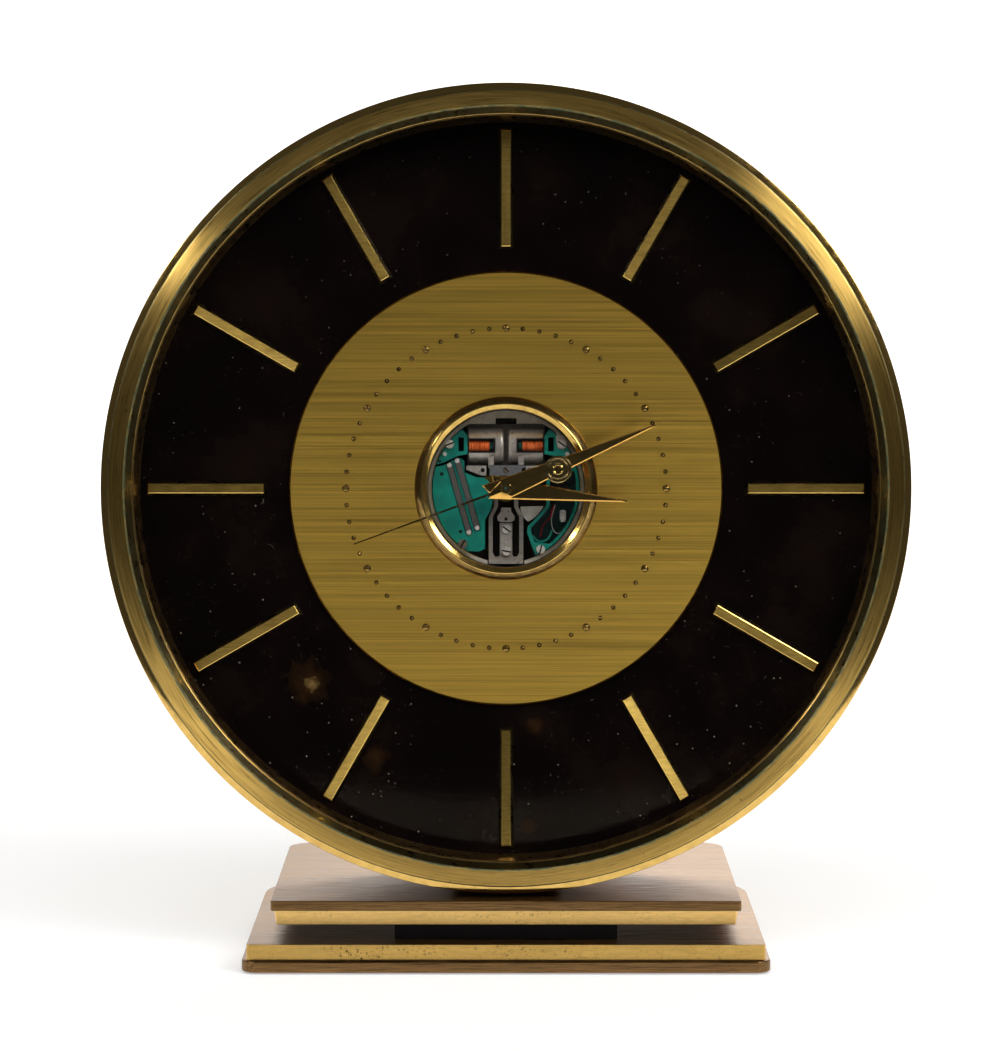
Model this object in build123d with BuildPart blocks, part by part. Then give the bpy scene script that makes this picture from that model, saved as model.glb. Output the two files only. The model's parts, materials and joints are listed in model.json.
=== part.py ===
# Desk clock: a round drum case leaning back on a stepped brass base, with an open-view
# tuning-fork movement. Millimetres, +Z up, the dial faces -Y, origin on the floor under the base.
import os
from math import atan, cos, degrees, radians, sin

from build123d import *

os.makedirs("parts", exist_ok=True)

# Base stack, from the floor up
pad_thickness = 0.9
pad_proud = 0.3
pad_inset = 4.0
lower_plate_width = 92.9
lower_plate_depth = 67.7
lower_plate_thickness = 2.15
lower_plate_front_radius = 2.8
lower_plate_back_radius = 16.0
lower_plate_chamfer = 0.4
band_ledge = 0.95
lower_band_height = 2.75
spacer_width = 39.3
spacer_depth = 50.0
spacer_height = 2.6
upper_plate_width = 83.0
upper_plate_setback = 4.0
upper_plate_thickness = 1.8
upper_plate_back_radius = 5.0
upper_band_ledge = 0.55
upper_band_height = 2.6
upper_band_flare = 0.45
spacer_setback = 0.5
sharp_corner_radius = 0.5

# Case, all heights along the leaning dial axis from the dial's front face
lean_angle = 4.0
dial_setback = 19.9
bezel_radius = 71.8
bezel_chamfer = 1.2
bezel_overhang = 2.3
bezel_inner_bevel = 1.1
bezel_face_height = 12.0
bezel_depth = 5.0
bezel_lip_height = 9.0
bezel_base_gap = 0.3
shell_wall = 1.9
shell_back_height = -18.6
case_fit = 0.1
crystal_thickness = 1.6
crystal_hold = 1.2
rehaut_slope = 0.5
back_cover_thickness = 1.6
back_opening_radius = 16.0
back_collar_wall = 1.2
back_collar_height = -15.7
lug_width = 6.2
lug_root = 0.1
lug_count = 4

# Dial
dial_thickness = 1.2
baton_margin = 1.0
baton_length = 21.8
baton_width = 2.7
baton_top_width = 1.4
baton_height = 1.0
disc_gap = 4.0
disc_height = 1.0
disc_edge_chamfer = 0.25
pit_inset = 10.2
pit_radius = 0.33
hour_pit_radius = 0.6
pit_depth = 0.25
pit_sides = 6
ring_sight_radius = 14.2
ring_barrel_radius = 15.4
ring_flange_radius = 16.5
ring_height = 2.3
ring_depth = 2.2
ring_crest = 1.0
ring_bevel = 0.65

# Saddle between drum and base, and the two long bolts that hold them
saddle_width = 26.0
saddle_depth = 20.0
saddle_front = 10.4
saddle_height = 3.2
saddle_nut_width = 28.0
saddle_nut_thickness = 4.9
saddle_nut_depth = 11.0
saddle_nut_height = -13.0
bolt_spacing = 16.0
bolt_radius = 2.0
bolt_sides = 8
bolt_head_radius = 3.5
bolt_head_height = 1.5
bolt_length = 18.5
bolt_behind_front = 22.4
clearance = 0.2

# Movement plates
movement_radius = 14.1
movement_fit = 0.15
main_plate_back = -8.4
main_plate_front = -6.6
rim_width = 0.65
rim_top = -3.2
segment_edge = 11.7
segment_notch_width = 3.8
segment_notch_depth = 1.0
magnet_window_half_width = 7.1
magnet_window_bottom = 4.0
green_top = -1.8
green_thickness = 1.2
pillar_radius = 0.7
pillar_sides = 8
holder_width = 42.0
housing_radius = 17.5
housing_back = -15.5

# Tuning fork, cup magnets and coils
fork_thickness = 1.4
fork_plane = -5.4
tine_width = 0.75
tine_outer = 3.15
tine_waist_outer = 2.2
fork_bottom = -13.7
yoke_top = -12.4
stem_half_width = 1.15
stem_top = -6.3
hip_height = -5.2
waist_low = -3.3
waist_high = 2.4
shoulder_height = 3.9
cup_radius = 3.22
cup_bore_radius = 2.385
cup_half_depth = 2.0
cup_inner_end = 0.4
cup_outer_end = 6.7
cup_floor = 1.5
cup_center_height = 7.75
magnet_core_radius = 0.32
magnet_core_length = 4.2
core_sides = 8
coil_radius = 1.0
coil_core_radius = 0.5
coil_bore_radius = 0.42
coil_inner_end = 3.0
coil_outer_end = 6.8
bobbin_end = 2.25
bobbin_flange_radius = 0.92
tab_half_width = 0.5
tab_center = 2.7
tab_top = 5.75
tab_foot = 3.7
tab_lap = 0.15
tab_step = 0.1
tab_thickness = 0.4
bar_top = 4.15
bar_bottom = 2.3
bar_left = -3.0
bar_right = 3.4
bar_front = -2.4
bar_thickness = 0.8
clamp_half_width = 1.05
clamp_bottom = -12.3
clamp_top = -6.5
clamp_thickness = 0.5
strap_width = 1.0
strap_thickness = 0.35
strap_groove = 0.5
strap_groove_margin = 0.18
frame_wall = 0.55
frame_floor = 0.6
green_gap = 0.2
transistor_radius = 1.6
transistor_height = 2.2
capacitor_width = 1.1
capacitor_length = 2.2
capacitor_height = 2.8
capacitor_corner_radius = 0.4
lead_radius = 0.16
lead_bend_radius = 1.2
lead_sides = 6
bar_notch_radius = 0.55
form_inner = 6.95
form_window_width = 1.0
form_window_height = 2.5

# Motion work: cannon pinion, minute wheel, hour wheel and setting pinion
cannon_teeth = 12
minute_wheel_teeth = 36
minute_pinion_teeth = 10
hour_wheel_teeth = 40
setting_teeth = 12
arbor_distance = 3.0
cannon_module = 2 * arbor_distance / (cannon_teeth + minute_wheel_teeth)
hour_module = 2 * arbor_distance / (minute_pinion_teeth + hour_wheel_teeth)
wheel_thickness = 0.4
minute_wheel_bottom = -4.3
hour_wheel_bottom = -3.7
pinion_overhang = 0.1
shaft_clearance = 0.05
seconds_arbor_radius = 0.25
cannon_radius = 0.58
hour_pipe_radius = 1.0
stud_radius = 0.28
setting_angle = 210
setting_shaft_radius = 0.55

# Hands
hour_hand_height = 2.9
minute_hand_height = 4.0
seconds_hand_height = 5.2
hand_thickness = 0.35
hand_bevel = 0.12
hour_hand_length = 21.8
hour_hand_tail = 2.9
minute_hand_length = 29.0
minute_hand_tail = 3.74
hand_tail_half_width = 2.15
hand_tail_notch = 0.8
hand_tip_half_width = 0.16
hour_collet_radius = 1.45
minute_collet_radius = 1.0
seconds_hand_length = 29.0
seconds_hand_width = 0.34
seconds_tip_width = 0.2
seconds_hand_thickness = 0.25
counterweight_distance = 9.9
counterweight_radius = 2.46
counterweight_hole_radius = 0.75
seconds_collet_radius = 0.9
collet_height = 0.45
hour_hand_angle = 96.1
minute_hand_angle = 67.1
seconds_hand_angle = 249.9

# Back of the movement: cell, hatch, setting shaft and its folding handle
cell_radius = 5.8
cell_thickness = 5.4
cell_x = 8.6
cell_clearance = 0.3
hatch_radius = 6.4
hatch_thickness = 1.0
hatch_slot_width = 1.2
hatch_slot_length = 9.6
hatch_slot_depth = 0.5
handle_head_length = 4.6
handle_head_width = 1.4
handle_head_height = 1.5
handle_pin_radius = 0.3
handle_arm_width = 0.9
handle_straight = 2.0
handle_thickness = 0.8
handle_side_gap = 0.1

# Levels of the base
lower_plate_bottom = pad_proud
lower_band_bottom = lower_plate_bottom + lower_plate_thickness
spacer_bottom = lower_band_bottom + lower_band_height
upper_band_bottom = spacer_bottom + spacer_height
upper_plate_bottom = upper_band_bottom + upper_band_height
base_top = upper_plate_bottom + upper_plate_thickness

# Depths of the base, front edges first
lower_band_width = lower_plate_width - 2 * band_ledge
lower_band_depth = lower_plate_depth - 2 * band_ledge
lower_band_front = -lower_band_depth / 2
lower_band_back_radius = lower_plate_back_radius - band_ledge
upper_plate_front = lower_band_front + upper_plate_setback
upper_plate_depth = lower_band_depth - upper_plate_setback
upper_plate_y = upper_plate_front + upper_plate_depth / 2
upper_band_foot_width = upper_plate_width - 2 * (upper_band_ledge + upper_band_flare)
upper_band_foot_depth = upper_plate_depth - 2 * (upper_band_ledge + upper_band_flare)
spacer_y = upper_plate_front + upper_band_ledge + spacer_setback + spacer_depth / 2

# The case frame: its z axis leaves the dial towards the viewer, its y axis runs up the dial
lean = radians(lean_angle)
bezel_back_height = bezel_face_height - bezel_depth
case_y = upper_plate_front + dial_setback
case_z = base_top + bezel_base_gap + bezel_radius * cos(lean) - bezel_back_height * sin(lean)
case = Plane(origin=(0, case_y, case_z), x_dir=(1, 0, 0), z_dir=(0, -cos(lean), sin(lean)))
case_axis = Axis(case.origin, case.z_dir)
case_section = Plane(origin=case.origin, x_dir=case.x_dir, z_dir=-case.y_dir)

# Radii of the case, from the bezel inwards
shell_radius = bezel_radius - bezel_overhang
shell_bore_radius = shell_radius - shell_wall
insert_radius = shell_bore_radius - case_fit
bezel_sight_radius = insert_radius - crystal_hold
bezel_face_inner_radius = bezel_sight_radius + bezel_inner_bevel
rehaut_foot_radius = bezel_sight_radius - rehaut_slope
lug_reach = shell_bore_radius + lug_root - lug_width / 2
baton_middle_radius = rehaut_foot_radius - baton_margin - baton_length / 2
disc_radius = baton_middle_radius - baton_length / 2 - disc_gap
pit_reach = disc_radius - pit_inset

# Levels and places inside the case
crystal_back = bezel_lip_height - crystal_thickness
cover_inside = shell_back_height + back_cover_thickness
fork_back = fork_plane - fork_thickness / 2
fork_front = fork_plane + fork_thickness / 2
green_bottom = green_top - green_thickness
bar_back = bar_front - bar_thickness
green_radius = movement_radius - rim_width - green_gap
pocket_radius = green_radius - frame_wall
minute_stud = (-arbor_distance, 0)
setting_x = -arbor_distance + arbor_distance * cos(radians(setting_angle))
setting_y = arbor_distance * sin(radians(setting_angle))
bolt_y = upper_plate_front + bolt_behind_front
bolt_places = [(-bolt_spacing / 2, bolt_y), (bolt_spacing / 2, bolt_y)]


def at_angle(radius, angle):
    """Point on a circle round the dial centre, by its angle from the right."""
    return (radius * cos(radians(angle)), radius * sin(radians(angle)))


def gear_points(teeth, module, phase):
    """Outline of a wheel with straight-sided teeth, thin enough to leave backlash."""
    tip = module * (teeth / 2 + 1)
    root = module * (teeth / 2 - 1.25)
    pitch = 360 / teeth
    points = []
    for tooth in range(teeth):
        middle = phase + tooth * pitch
        for radius, share in ((root, -0.27), (tip, -0.12), (tip, 0.12), (root, 0.27)):
            angle = radians(middle + share * pitch)
            points.append((radius * cos(angle), radius * sin(angle)))
    return points


def hand_plane(height, angle):
    """Plane over the dial whose y axis points along a hand at this clock angle."""
    turn = radians(angle)
    x_dir = case.x_dir * cos(turn) - case.y_dir * sin(turn)
    return Plane(origin=case.offset(height).origin, x_dir=x_dir, z_dir=case.z_dir)


def hand(height, angle, length, tail, collet_radius, bore):
    """A long tapering hand with bevelled edges, a notched tail and a pipe for its arbor."""
    plane = hand_plane(height, angle)
    with BuildPart() as piece:
        with BuildSketch(plane):
            with BuildLine():
                Polyline(
                    (hand_tip_half_width, length),
                    (hand_tail_half_width, -tail),
                    (0, -tail + hand_tail_notch),
                    (-hand_tail_half_width, -tail),
                    (-hand_tip_half_width, length),
                    close=True,
                )
            make_face()
        extrude(amount=hand_thickness)
        chamfer(piece.faces().sort_by(case_axis)[-1].edges(), length=hand_bevel)
        with BuildSketch(plane):
            Circle(collet_radius)
        extrude(amount=collet_height)
        with BuildSketch(plane):
            Circle(bore)
        extrude(amount=collet_height, mode=Mode.SUBTRACT)
    return piece.part


# Felt pad under the base
with BuildPart() as base_pad:
    with BuildSketch():
        Rectangle(lower_plate_width - 2 * pad_inset, lower_plate_depth - 2 * pad_inset)
        fillet(vertices().group_by(Axis.Y)[0], radius=lower_plate_front_radius)
        fillet(vertices().group_by(Axis.Y)[-1], radius=lower_plate_back_radius - pad_inset)
    extrude(amount=pad_thickness)

# Lower plate, with the pad's recess and pockets for the bolt heads
with BuildPart() as lower_plate:
    with BuildSketch(Plane.XY.offset(lower_plate_bottom)):
        Rectangle(lower_plate_width, lower_plate_depth)
        fillet(vertices().group_by(Axis.Y)[0], radius=lower_plate_front_radius)
        fillet(vertices().group_by(Axis.Y)[-1], radius=lower_plate_back_radius)
    extrude(amount=lower_plate_thickness)
    chamfer(lower_plate.faces().sort_by(Axis.Z)[-1].edges(), length=lower_plate_chamfer)
    with BuildSketch(Plane.XY):
        Rectangle(lower_plate_width - 2 * pad_inset, lower_plate_depth - 2 * pad_inset)
        fillet(vertices().group_by(Axis.Y)[0], radius=lower_plate_front_radius)
        fillet(vertices().group_by(Axis.Y)[-1], radius=lower_plate_back_radius - pad_inset)
    extrude(amount=pad_thickness, mode=Mode.SUBTRACT)
    with BuildSketch(Plane.XY):
        with Locations(*bolt_places):
            RegularPolygon(bolt_head_radius + clearance, 6)
    extrude(amount=lower_band_bottom, mode=Mode.SUBTRACT)

with BuildPart() as lower_band:
    with BuildSketch(Plane.XY.offset(lower_band_bottom)):
        Rectangle(lower_band_width, lower_band_depth)
        fillet(vertices().group_by(Axis.Y)[0], radius=sharp_corner_radius)
        fillet(vertices().group_by(Axis.Y)[-1], radius=lower_band_back_radius)
        with Locations(*bolt_places):
            RegularPolygon(bolt_radius + clearance, bolt_sides, mode=Mode.SUBTRACT)
    extrude(amount=lower_band_height)

with BuildPart() as spacer_block:
    with BuildSketch(Plane.XY.offset(spacer_bottom)):
        with Locations((0, spacer_y)):
            Rectangle(spacer_width, spacer_depth)
        with Locations(*bolt_places):
            RegularPolygon(bolt_radius + clearance, bolt_sides, mode=Mode.SUBTRACT)
    extrude(amount=spacer_height)

# Upper band, flaring a little towards the plate that it carries
with BuildPart() as upper_band:
    with BuildSketch(Plane.XY.offset(upper_band_bottom)):
        with Locations((0, upper_plate_y)):
            Rectangle(upper_band_foot_width, upper_band_foot_depth)
        fillet(vertices().group_by(Axis.Y)[0], radius=sharp_corner_radius)
        fillet(vertices().group_by(Axis.Y)[-1], radius=upper_plate_back_radius - upper_band_ledge)
    extrude(amount=upper_band_height, taper=-degrees(atan(upper_band_flare / upper_band_height)))
    with BuildSketch(Plane.XY.offset(upper_band_bottom)):
        with Locations(*bolt_places):
            RegularPolygon(bolt_radius + clearance, bolt_sides)
    extrude(amount=upper_band_height, mode=Mode.SUBTRACT)

with BuildPart() as upper_plate:
    with BuildSketch(Plane.XY.offset(upper_plate_bottom)):
        with Locations((0, upper_plate_y)):
            Rectangle(upper_plate_width, upper_plate_depth)
        fillet(vertices().group_by(Axis.Y)[0], radius=sharp_corner_radius)
        fillet(vertices().group_by(Axis.Y)[-1], radius=upper_plate_back_radius)
        with Locations(*bolt_places):
            RegularPolygon(bolt_radius + clearance, bolt_sides, mode=Mode.SUBTRACT)
    extrude(amount=upper_plate_thickness)

# Saddle, hollowed by the drum that rests in it
with BuildPart() as case_saddle:
    with BuildSketch(Plane.XY.offset(base_top)):
        with Locations((0, upper_plate_front + saddle_front + saddle_depth / 2)):
            Rectangle(saddle_width, saddle_depth)
        with Locations(*bolt_places):
            RegularPolygon(bolt_radius + clearance, bolt_sides, mode=Mode.SUBTRACT)
    extrude(amount=saddle_height)
    with BuildSketch(case.offset(shell_back_height - saddle_depth)):
        Circle(shell_radius)
    extrude(amount=3 * saddle_depth, mode=Mode.SUBTRACT)

# Curved nut bar inside the drum
with BuildPart() as saddle_nut:
    with BuildSketch(case.offset(saddle_nut_height)):
        Circle(insert_radius)
        Circle(insert_radius - saddle_nut_thickness, mode=Mode.SUBTRACT)
        with Locations((0, -insert_radius)):
            Rectangle(saddle_nut_width, insert_radius, mode=Mode.INTERSECT)
    extrude(amount=saddle_nut_depth)
    with BuildSketch(Plane.XY.offset(base_top)):
        with Locations(*bolt_places):
            RegularPolygon(bolt_radius + shaft_clearance, bolt_sides)
    extrude(amount=bolt_length, mode=Mode.SUBTRACT)

# Two bolts from under the lower band up into the nut bar
with BuildPart() as base_bolts:
    with BuildSketch(Plane.XY.offset(lower_band_bottom - bolt_head_height)):
        with Locations(*bolt_places):
            RegularPolygon(bolt_head_radius, 6)
    extrude(amount=bolt_head_height)
    with BuildSketch(Plane.XY.offset(lower_band_bottom)):
        with Locations(*bolt_places):
            RegularPolygon(bolt_radius, bolt_sides)
    extrude(amount=bolt_length)

# Drum shell: tube with four long lugs, which the dial and the back cover seat on
with BuildPart() as drum_shell:
    with BuildSketch(case_section):
        with BuildLine():
            Polyline(
                (shell_radius, shell_back_height),
                (shell_radius, bezel_lip_height),
                (shell_bore_radius, bezel_lip_height),
                (shell_bore_radius, shell_back_height),
                close=True,
            )
        make_face()
    revolve(axis=case_axis)
    with BuildSketch(case.offset(cover_inside)):
        with PolarLocations(lug_reach, lug_count, start_angle=45):
            Rectangle(lug_width, lug_width)
    extrude(amount=-dial_thickness - cover_inside)
    with BuildSketch(Plane.XY.offset(base_top)):
        with Locations(*bolt_places):
            RegularPolygon(bolt_radius + clearance, bolt_sides)
    extrude(amount=bolt_length / 2, mode=Mode.SUBTRACT)

# Bezel, whose skirt slips over the front of the shell and whose lip holds the crystal
with BuildPart() as bezel_ring:
    with BuildSketch(case_section):
        with BuildLine():
            Polyline(
                (bezel_radius, bezel_back_height),
                (bezel_radius, bezel_face_height - bezel_chamfer),
                (bezel_radius - bezel_chamfer, bezel_face_height),
                (bezel_face_inner_radius, bezel_face_height),
                (bezel_sight_radius, bezel_lip_height),
                (shell_radius + case_fit, bezel_lip_height),
                (shell_radius + case_fit, bezel_back_height),
                close=True,
            )
        make_face()
    revolve(axis=case_axis)

with BuildPart() as crystal:
    with BuildSketch(case.offset(crystal_back)):
        Circle(insert_radius)
    extrude(amount=crystal_thickness)

# Sloping ring between dial and crystal
with BuildPart() as rehaut_ring:
    with BuildSketch(case_section):
        with BuildLine():
            Polyline(
                (insert_radius, 0),
                (insert_radius, crystal_back),
                (bezel_sight_radius, crystal_back),
                (rehaut_foot_radius, 0),
                close=True,
            )
        make_face()
    revolve(axis=case_axis)

with BuildPart() as dial_plate:
    with BuildSketch(case.offset(-dial_thickness)):
        Circle(insert_radius)
        Circle(ring_barrel_radius + shaft_clearance, mode=Mode.SUBTRACT)
    extrude(amount=dial_thickness)

with BuildPart() as hour_batons:
    with BuildSketch(case):
        with PolarLocations(baton_middle_radius, 12):
            Rectangle(baton_length, baton_width)
    extrude(
        amount=baton_height,
        taper=degrees(atan((baton_width - baton_top_width) / 2 / baton_height)),
    )

# Raised centre disc with its ring of sixty minute pits, every fifth one larger
with BuildPart() as dial_disc:
    with BuildSketch(case):
        Circle(disc_radius)
    extrude(amount=disc_height)
    chamfer(dial_disc.faces().sort_by(case_axis)[-1].edges(), length=disc_edge_chamfer)
    with BuildSketch(case):
        Circle(ring_barrel_radius + shaft_clearance)
    extrude(amount=disc_height, mode=Mode.SUBTRACT)
    with BuildSketch(case.offset(disc_height)):
        with PolarLocations(pit_reach, 60):
            RegularPolygon(pit_radius, pit_sides)
        with PolarLocations(pit_reach, 12):
            RegularPolygon(hour_pit_radius, pit_sides)
    extrude(amount=-pit_depth, mode=Mode.SUBTRACT)

# Polished ring round the opening in the dial
with BuildPart() as aperture_ring:
    with BuildSketch(case_section):
        with BuildLine():
            Polyline(
                (ring_sight_radius, -ring_depth),
                (ring_barrel_radius, -ring_depth),
                (ring_barrel_radius, disc_height),
                (ring_flange_radius, disc_height),
                (ring_sight_radius + ring_crest, ring_height),
                (ring_sight_radius, ring_height - ring_bevel),
                close=True,
            )
        make_face()
    revolve(axis=case_axis)

# Holder behind the dial, which the movement sits in
with BuildPart() as movement_holder:
    with BuildSketch(case.offset(main_plate_back)):
        Rectangle(holder_width, holder_width)
        Circle(movement_radius + movement_fit, mode=Mode.SUBTRACT)
    extrude(amount=-dial_thickness - main_plate_back)
    with BuildSketch(case.offset(-ring_depth - case_fit)):
        Circle(ring_barrel_radius + shaft_clearance)
    extrude(amount=ring_depth, mode=Mode.SUBTRACT)

# Main plate: disc, rim and the straight-edged segment over the magnets
with BuildPart() as main_plate:
    with BuildSketch(case.offset(main_plate_back)):
        Circle(movement_radius)
        with Locations((0, (magnet_window_bottom + segment_edge) / 2)):
            Rectangle(
                2 * magnet_window_half_width,
                segment_edge - magnet_window_bottom,
                mode=Mode.SUBTRACT,
            )
    extrude(amount=main_plate_front - main_plate_back)
    with BuildSketch(case.offset(main_plate_front)):
        Circle(movement_radius)
        Circle(movement_radius - rim_width, mode=Mode.SUBTRACT)
        with Locations((0, -movement_radius)):
            Rectangle(2 * (tine_outer + green_gap), movement_radius, mode=Mode.SUBTRACT)
    extrude(amount=rim_top - main_plate_front)
    with BuildSketch(case.offset(main_plate_front)):
        Circle(movement_radius)
        with Locations((0, segment_edge + movement_radius)):
            Rectangle(2 * movement_radius, 2 * movement_radius, mode=Mode.INTERSECT)
        with Locations((0, segment_edge)):
            Rectangle(segment_notch_width, 2 * segment_notch_depth, mode=Mode.SUBTRACT)
    extrude(amount=rim_top - main_plate_front)
    with BuildSketch(case.offset(main_plate_front)):
        with Locations((0, (yoke_top + stem_top) / 2)):
            Rectangle(2 * stem_half_width, stem_top - yoke_top)
    extrude(amount=fork_back - main_plate_front)
    with BuildSketch(case.offset(main_plate_back)):
        Circle(seconds_arbor_radius + shaft_clearance)
        with Locations((setting_x, setting_y)):
            Circle(setting_shaft_radius + shaft_clearance)
    extrude(amount=main_plate_front - main_plate_back, mode=Mode.SUBTRACT)
    with BuildSketch(case.offset(main_plate_front)):
        with Locations(minute_stud):
            Circle(stud_radius)
    extrude(amount=green_bottom - clearance - main_plate_front)

# Tuning fork: yoke, two waisted tines with magnet tabs, and the stem that is clamped
tab_places = [(-tab_center, tab_foot), (tab_center, tab_foot)]
tab_plate_foot = bar_top + tab_step
tab_plate_places = [(-tab_center, tab_plate_foot), (tab_center, tab_plate_foot)]
tab_level = fork_plane + cup_half_depth + tab_step
tine_inner = tine_outer - tine_width
waist_inner = tine_waist_outer - tine_width
with BuildPart() as tuning_fork:
    with BuildSketch(case.offset(fork_back)):
        with BuildLine():
            Polyline(
                (0, fork_bottom),
                (tine_outer, fork_bottom),
                (tine_outer, hip_height),
                (tine_waist_outer, waist_low),
                (tine_waist_outer, waist_high),
                (tab_center + tab_half_width, shoulder_height),
                (tab_center + tab_half_width, bar_top),
                (tab_center - tab_half_width, bar_top),
                (tab_center - tab_half_width, shoulder_height),
                (waist_inner, waist_high),
                (waist_inner, waist_low),
                (tine_inner, hip_height),
                (tine_inner, yoke_top + tine_width),
                (tine_inner - tine_width / 2, yoke_top),
                (stem_half_width + tine_width / 4, yoke_top),
                (stem_half_width, yoke_top + tine_width / 2),
                (stem_half_width, stem_top),
                (0, stem_top),
                close=True,
            )
        make_face()
        mirror(about=Plane.YZ)
    extrude(amount=fork_thickness)
    with BuildSketch(case.offset(fork_front)):
        with Locations(*tab_places):
            Rectangle(2 * tab_half_width, bar_top + tab_lap - tab_foot, align=(Align.CENTER, Align.MIN))
    extrude(amount=tab_level - fork_front)
    with BuildSketch(case.offset(tab_level)):
        with Locations(*tab_plate_places):
            Rectangle(2 * tab_half_width, tab_top - tab_plate_foot, align=(Align.CENTER, Align.MIN))
    extrude(amount=tab_thickness)

# Right cup magnet: a cup on its side, cut flat front and back so that its coil shows
cup_middle = case.offset(fork_plane)
cup_plane = Plane(
    origin=cup_middle.from_local_coords((0, cup_center_height, 0)),
    x_dir=case.y_dir,
    z_dir=case.x_dir,
)
with BuildPart() as cup_magnet:
    with BuildSketch(cup_plane.offset(cup_inner_end)):
        Circle(cup_radius)
    extrude(amount=cup_outer_end - cup_inner_end)
    chamfer(cup_magnet.faces().sort_by(Axis.X)[0].edges(), length=cup_floor / 2)
    with BuildSketch(cup_plane.offset(cup_inner_end + cup_floor)):
        Circle(cup_bore_radius)
    extrude(amount=cup_outer_end, mode=Mode.SUBTRACT)
    with BuildSketch(cup_plane.offset(cup_inner_end + cup_floor)):
        RegularPolygon(magnet_core_radius, core_sides)
    extrude(amount=magnet_core_length)
    with BuildSketch(cup_middle):
        with Locations((cup_outer_end / 2, cup_center_height)):
            Rectangle(2 * cup_outer_end, 3 * cup_radius)
    extrude(amount=cup_half_depth, both=True, mode=Mode.INTERSECT)

# The winding on the right bobbin
with BuildPart() as coil:
    with BuildSketch(cup_plane.offset(coil_inner_end)):
        Circle(coil_radius)
        RegularPolygon(coil_core_radius + shaft_clearance / 2, core_sides, mode=Mode.SUBTRACT)
    extrude(amount=coil_outer_end - coil_inner_end)

# Right green form, moulded in one with its bobbin
form_start = at_angle(green_radius, 19)
form_bow = at_angle(green_radius, 37)
form_end = at_angle(green_radius, 53.5)
form_edge = [(11.2, 4.7), (9.9, 5.3), (8.6, 5.9), (form_inner, 6.2), (form_inner, 9.5), (7.6, 10.3)]
form_window_place = (8.1, 7.95)
with BuildPart() as coil_form:
    with BuildSketch(case.offset(main_plate_front)):
        with BuildLine():
            Polyline(form_start, *form_edge, form_end)
            ThreePointArc(form_end, form_bow, form_start)
        make_face()
        with Locations(form_window_place):
            Rectangle(form_window_width, form_window_height, mode=Mode.SUBTRACT)
    extrude(amount=green_top - main_plate_front)
    with BuildSketch(cup_plane.offset(bobbin_end)):
        RegularPolygon(coil_core_radius, core_sides)
    extrude(amount=form_inner - bobbin_end)
    with BuildSketch(cup_plane.offset(bobbin_end)):
        Circle(bobbin_flange_radius)
    extrude(amount=coil_inner_end - shaft_clearance - bobbin_end)
    with BuildSketch(cup_plane.offset(bobbin_end)):
        RegularPolygon(coil_bore_radius, core_sides)
    extrude(amount=form_inner - bobbin_end - clearance, mode=Mode.SUBTRACT)

# Green circuit plate on the left, with two grooves for the contact straps
strap_ends = [((-10.2, 4.2), (-6.7, -7.9)), ((-8.8, 5.0), (-5.2, -7.1))]
plate_pillars = [(-7.6, -9.9), (-11.6, -2.0), (-8.2, 2.0)]
plate_right_edge = [
    at_angle(green_radius, 163),
    (-11.2, 4.2),
    (-9.9, 4.9),
    (-8.4, 5.5),
    (-7.55, 5.0),
    (-7.5, 2.9),
    (-5.4, 2.0),
    (-3.9, 2.0),
    (-3.0, 1.1),
    (-2.5, -0.7),
    (-2.4, -2.5),
    (-2.8, -4.0),
    (-3.8, -5.7),
    (-3.8, -10.9),
    (-4.9, -11.4),
    at_angle(green_radius, 238.6),
]
with BuildPart() as circuit_plate:
    with BuildSketch(case.offset(green_bottom)):
        with BuildLine():
            Polyline(*plate_right_edge)
            ThreePointArc(plate_right_edge[-1], at_angle(green_radius, 200), plate_right_edge[0])
        make_face()
    extrude(amount=green_thickness)
    with BuildSketch(case.offset(main_plate_front)):
        with Locations(*plate_pillars):
            RegularPolygon(pillar_radius, pillar_sides)
    extrude(amount=green_bottom - main_plate_front)
    with BuildSketch(case.offset(green_top)):
        for start, end in strap_ends:
            middle = ((start[0] + end[0]) / 2, (start[1] + end[1]) / 2)
            SlotCenterPoint(middle, end, strap_width + 2 * strap_groove_margin)
    extrude(amount=-strap_groove, mode=Mode.SUBTRACT)

with BuildPart() as contact_straps:
    with BuildSketch(case.offset(green_top - strap_groove)):
        for start, end in strap_ends:
            middle = ((start[0] + end[0]) / 2, (start[1] + end[1]) / 2)
            SlotCenterPoint(middle, end, strap_width)
    extrude(amount=strap_thickness)

# Green frame on the right, an open pocket for the transistor, capacitor and lead
frame_points = [
    (7.3, 3.6),
    (7.3, -3.0),
    (6.2, -4.5),
    (3.9, -6.9),
    (3.8, -8.0),
    (4.8, -10.8),
    at_angle(green_radius, -66),
]
pocket_points = [(7.9, 3.0), (7.9, -3.2), (6.6, -4.9), (4.5, -7.1), (4.5, -7.9), (5.2, -9.7)]
frame_start = at_angle(green_radius, 18)
frame_bow = at_angle(green_radius, -20)
pocket_start = at_angle(pocket_radius, 14)
pocket_bow = at_angle(pocket_radius, -20)
pocket_end = at_angle(pocket_radius, -52)
with BuildPart() as circuit_frame:
    with BuildSketch(case.offset(main_plate_front)):
        with BuildLine():
            Polyline(frame_start, *frame_points)
            ThreePointArc(frame_points[-1], frame_bow, frame_start)
        make_face()
    extrude(amount=green_top - main_plate_front)
    with BuildSketch(case.offset(main_plate_front + frame_floor)):
        with BuildLine():
            Polyline(pocket_start, *pocket_points, pocket_end)
            ThreePointArc(pocket_end, pocket_bow, pocket_start)
        make_face()
    extrude(amount=green_top - main_plate_front, mode=Mode.SUBTRACT)

pocket_floor = case.offset(main_plate_front + frame_floor)
transistor_place = (9.8, -0.6)
with BuildPart() as transistor:
    with BuildSketch(pocket_floor):
        with Locations(transistor_place):
            Circle(transistor_radius)
    extrude(amount=transistor_height)

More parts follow.
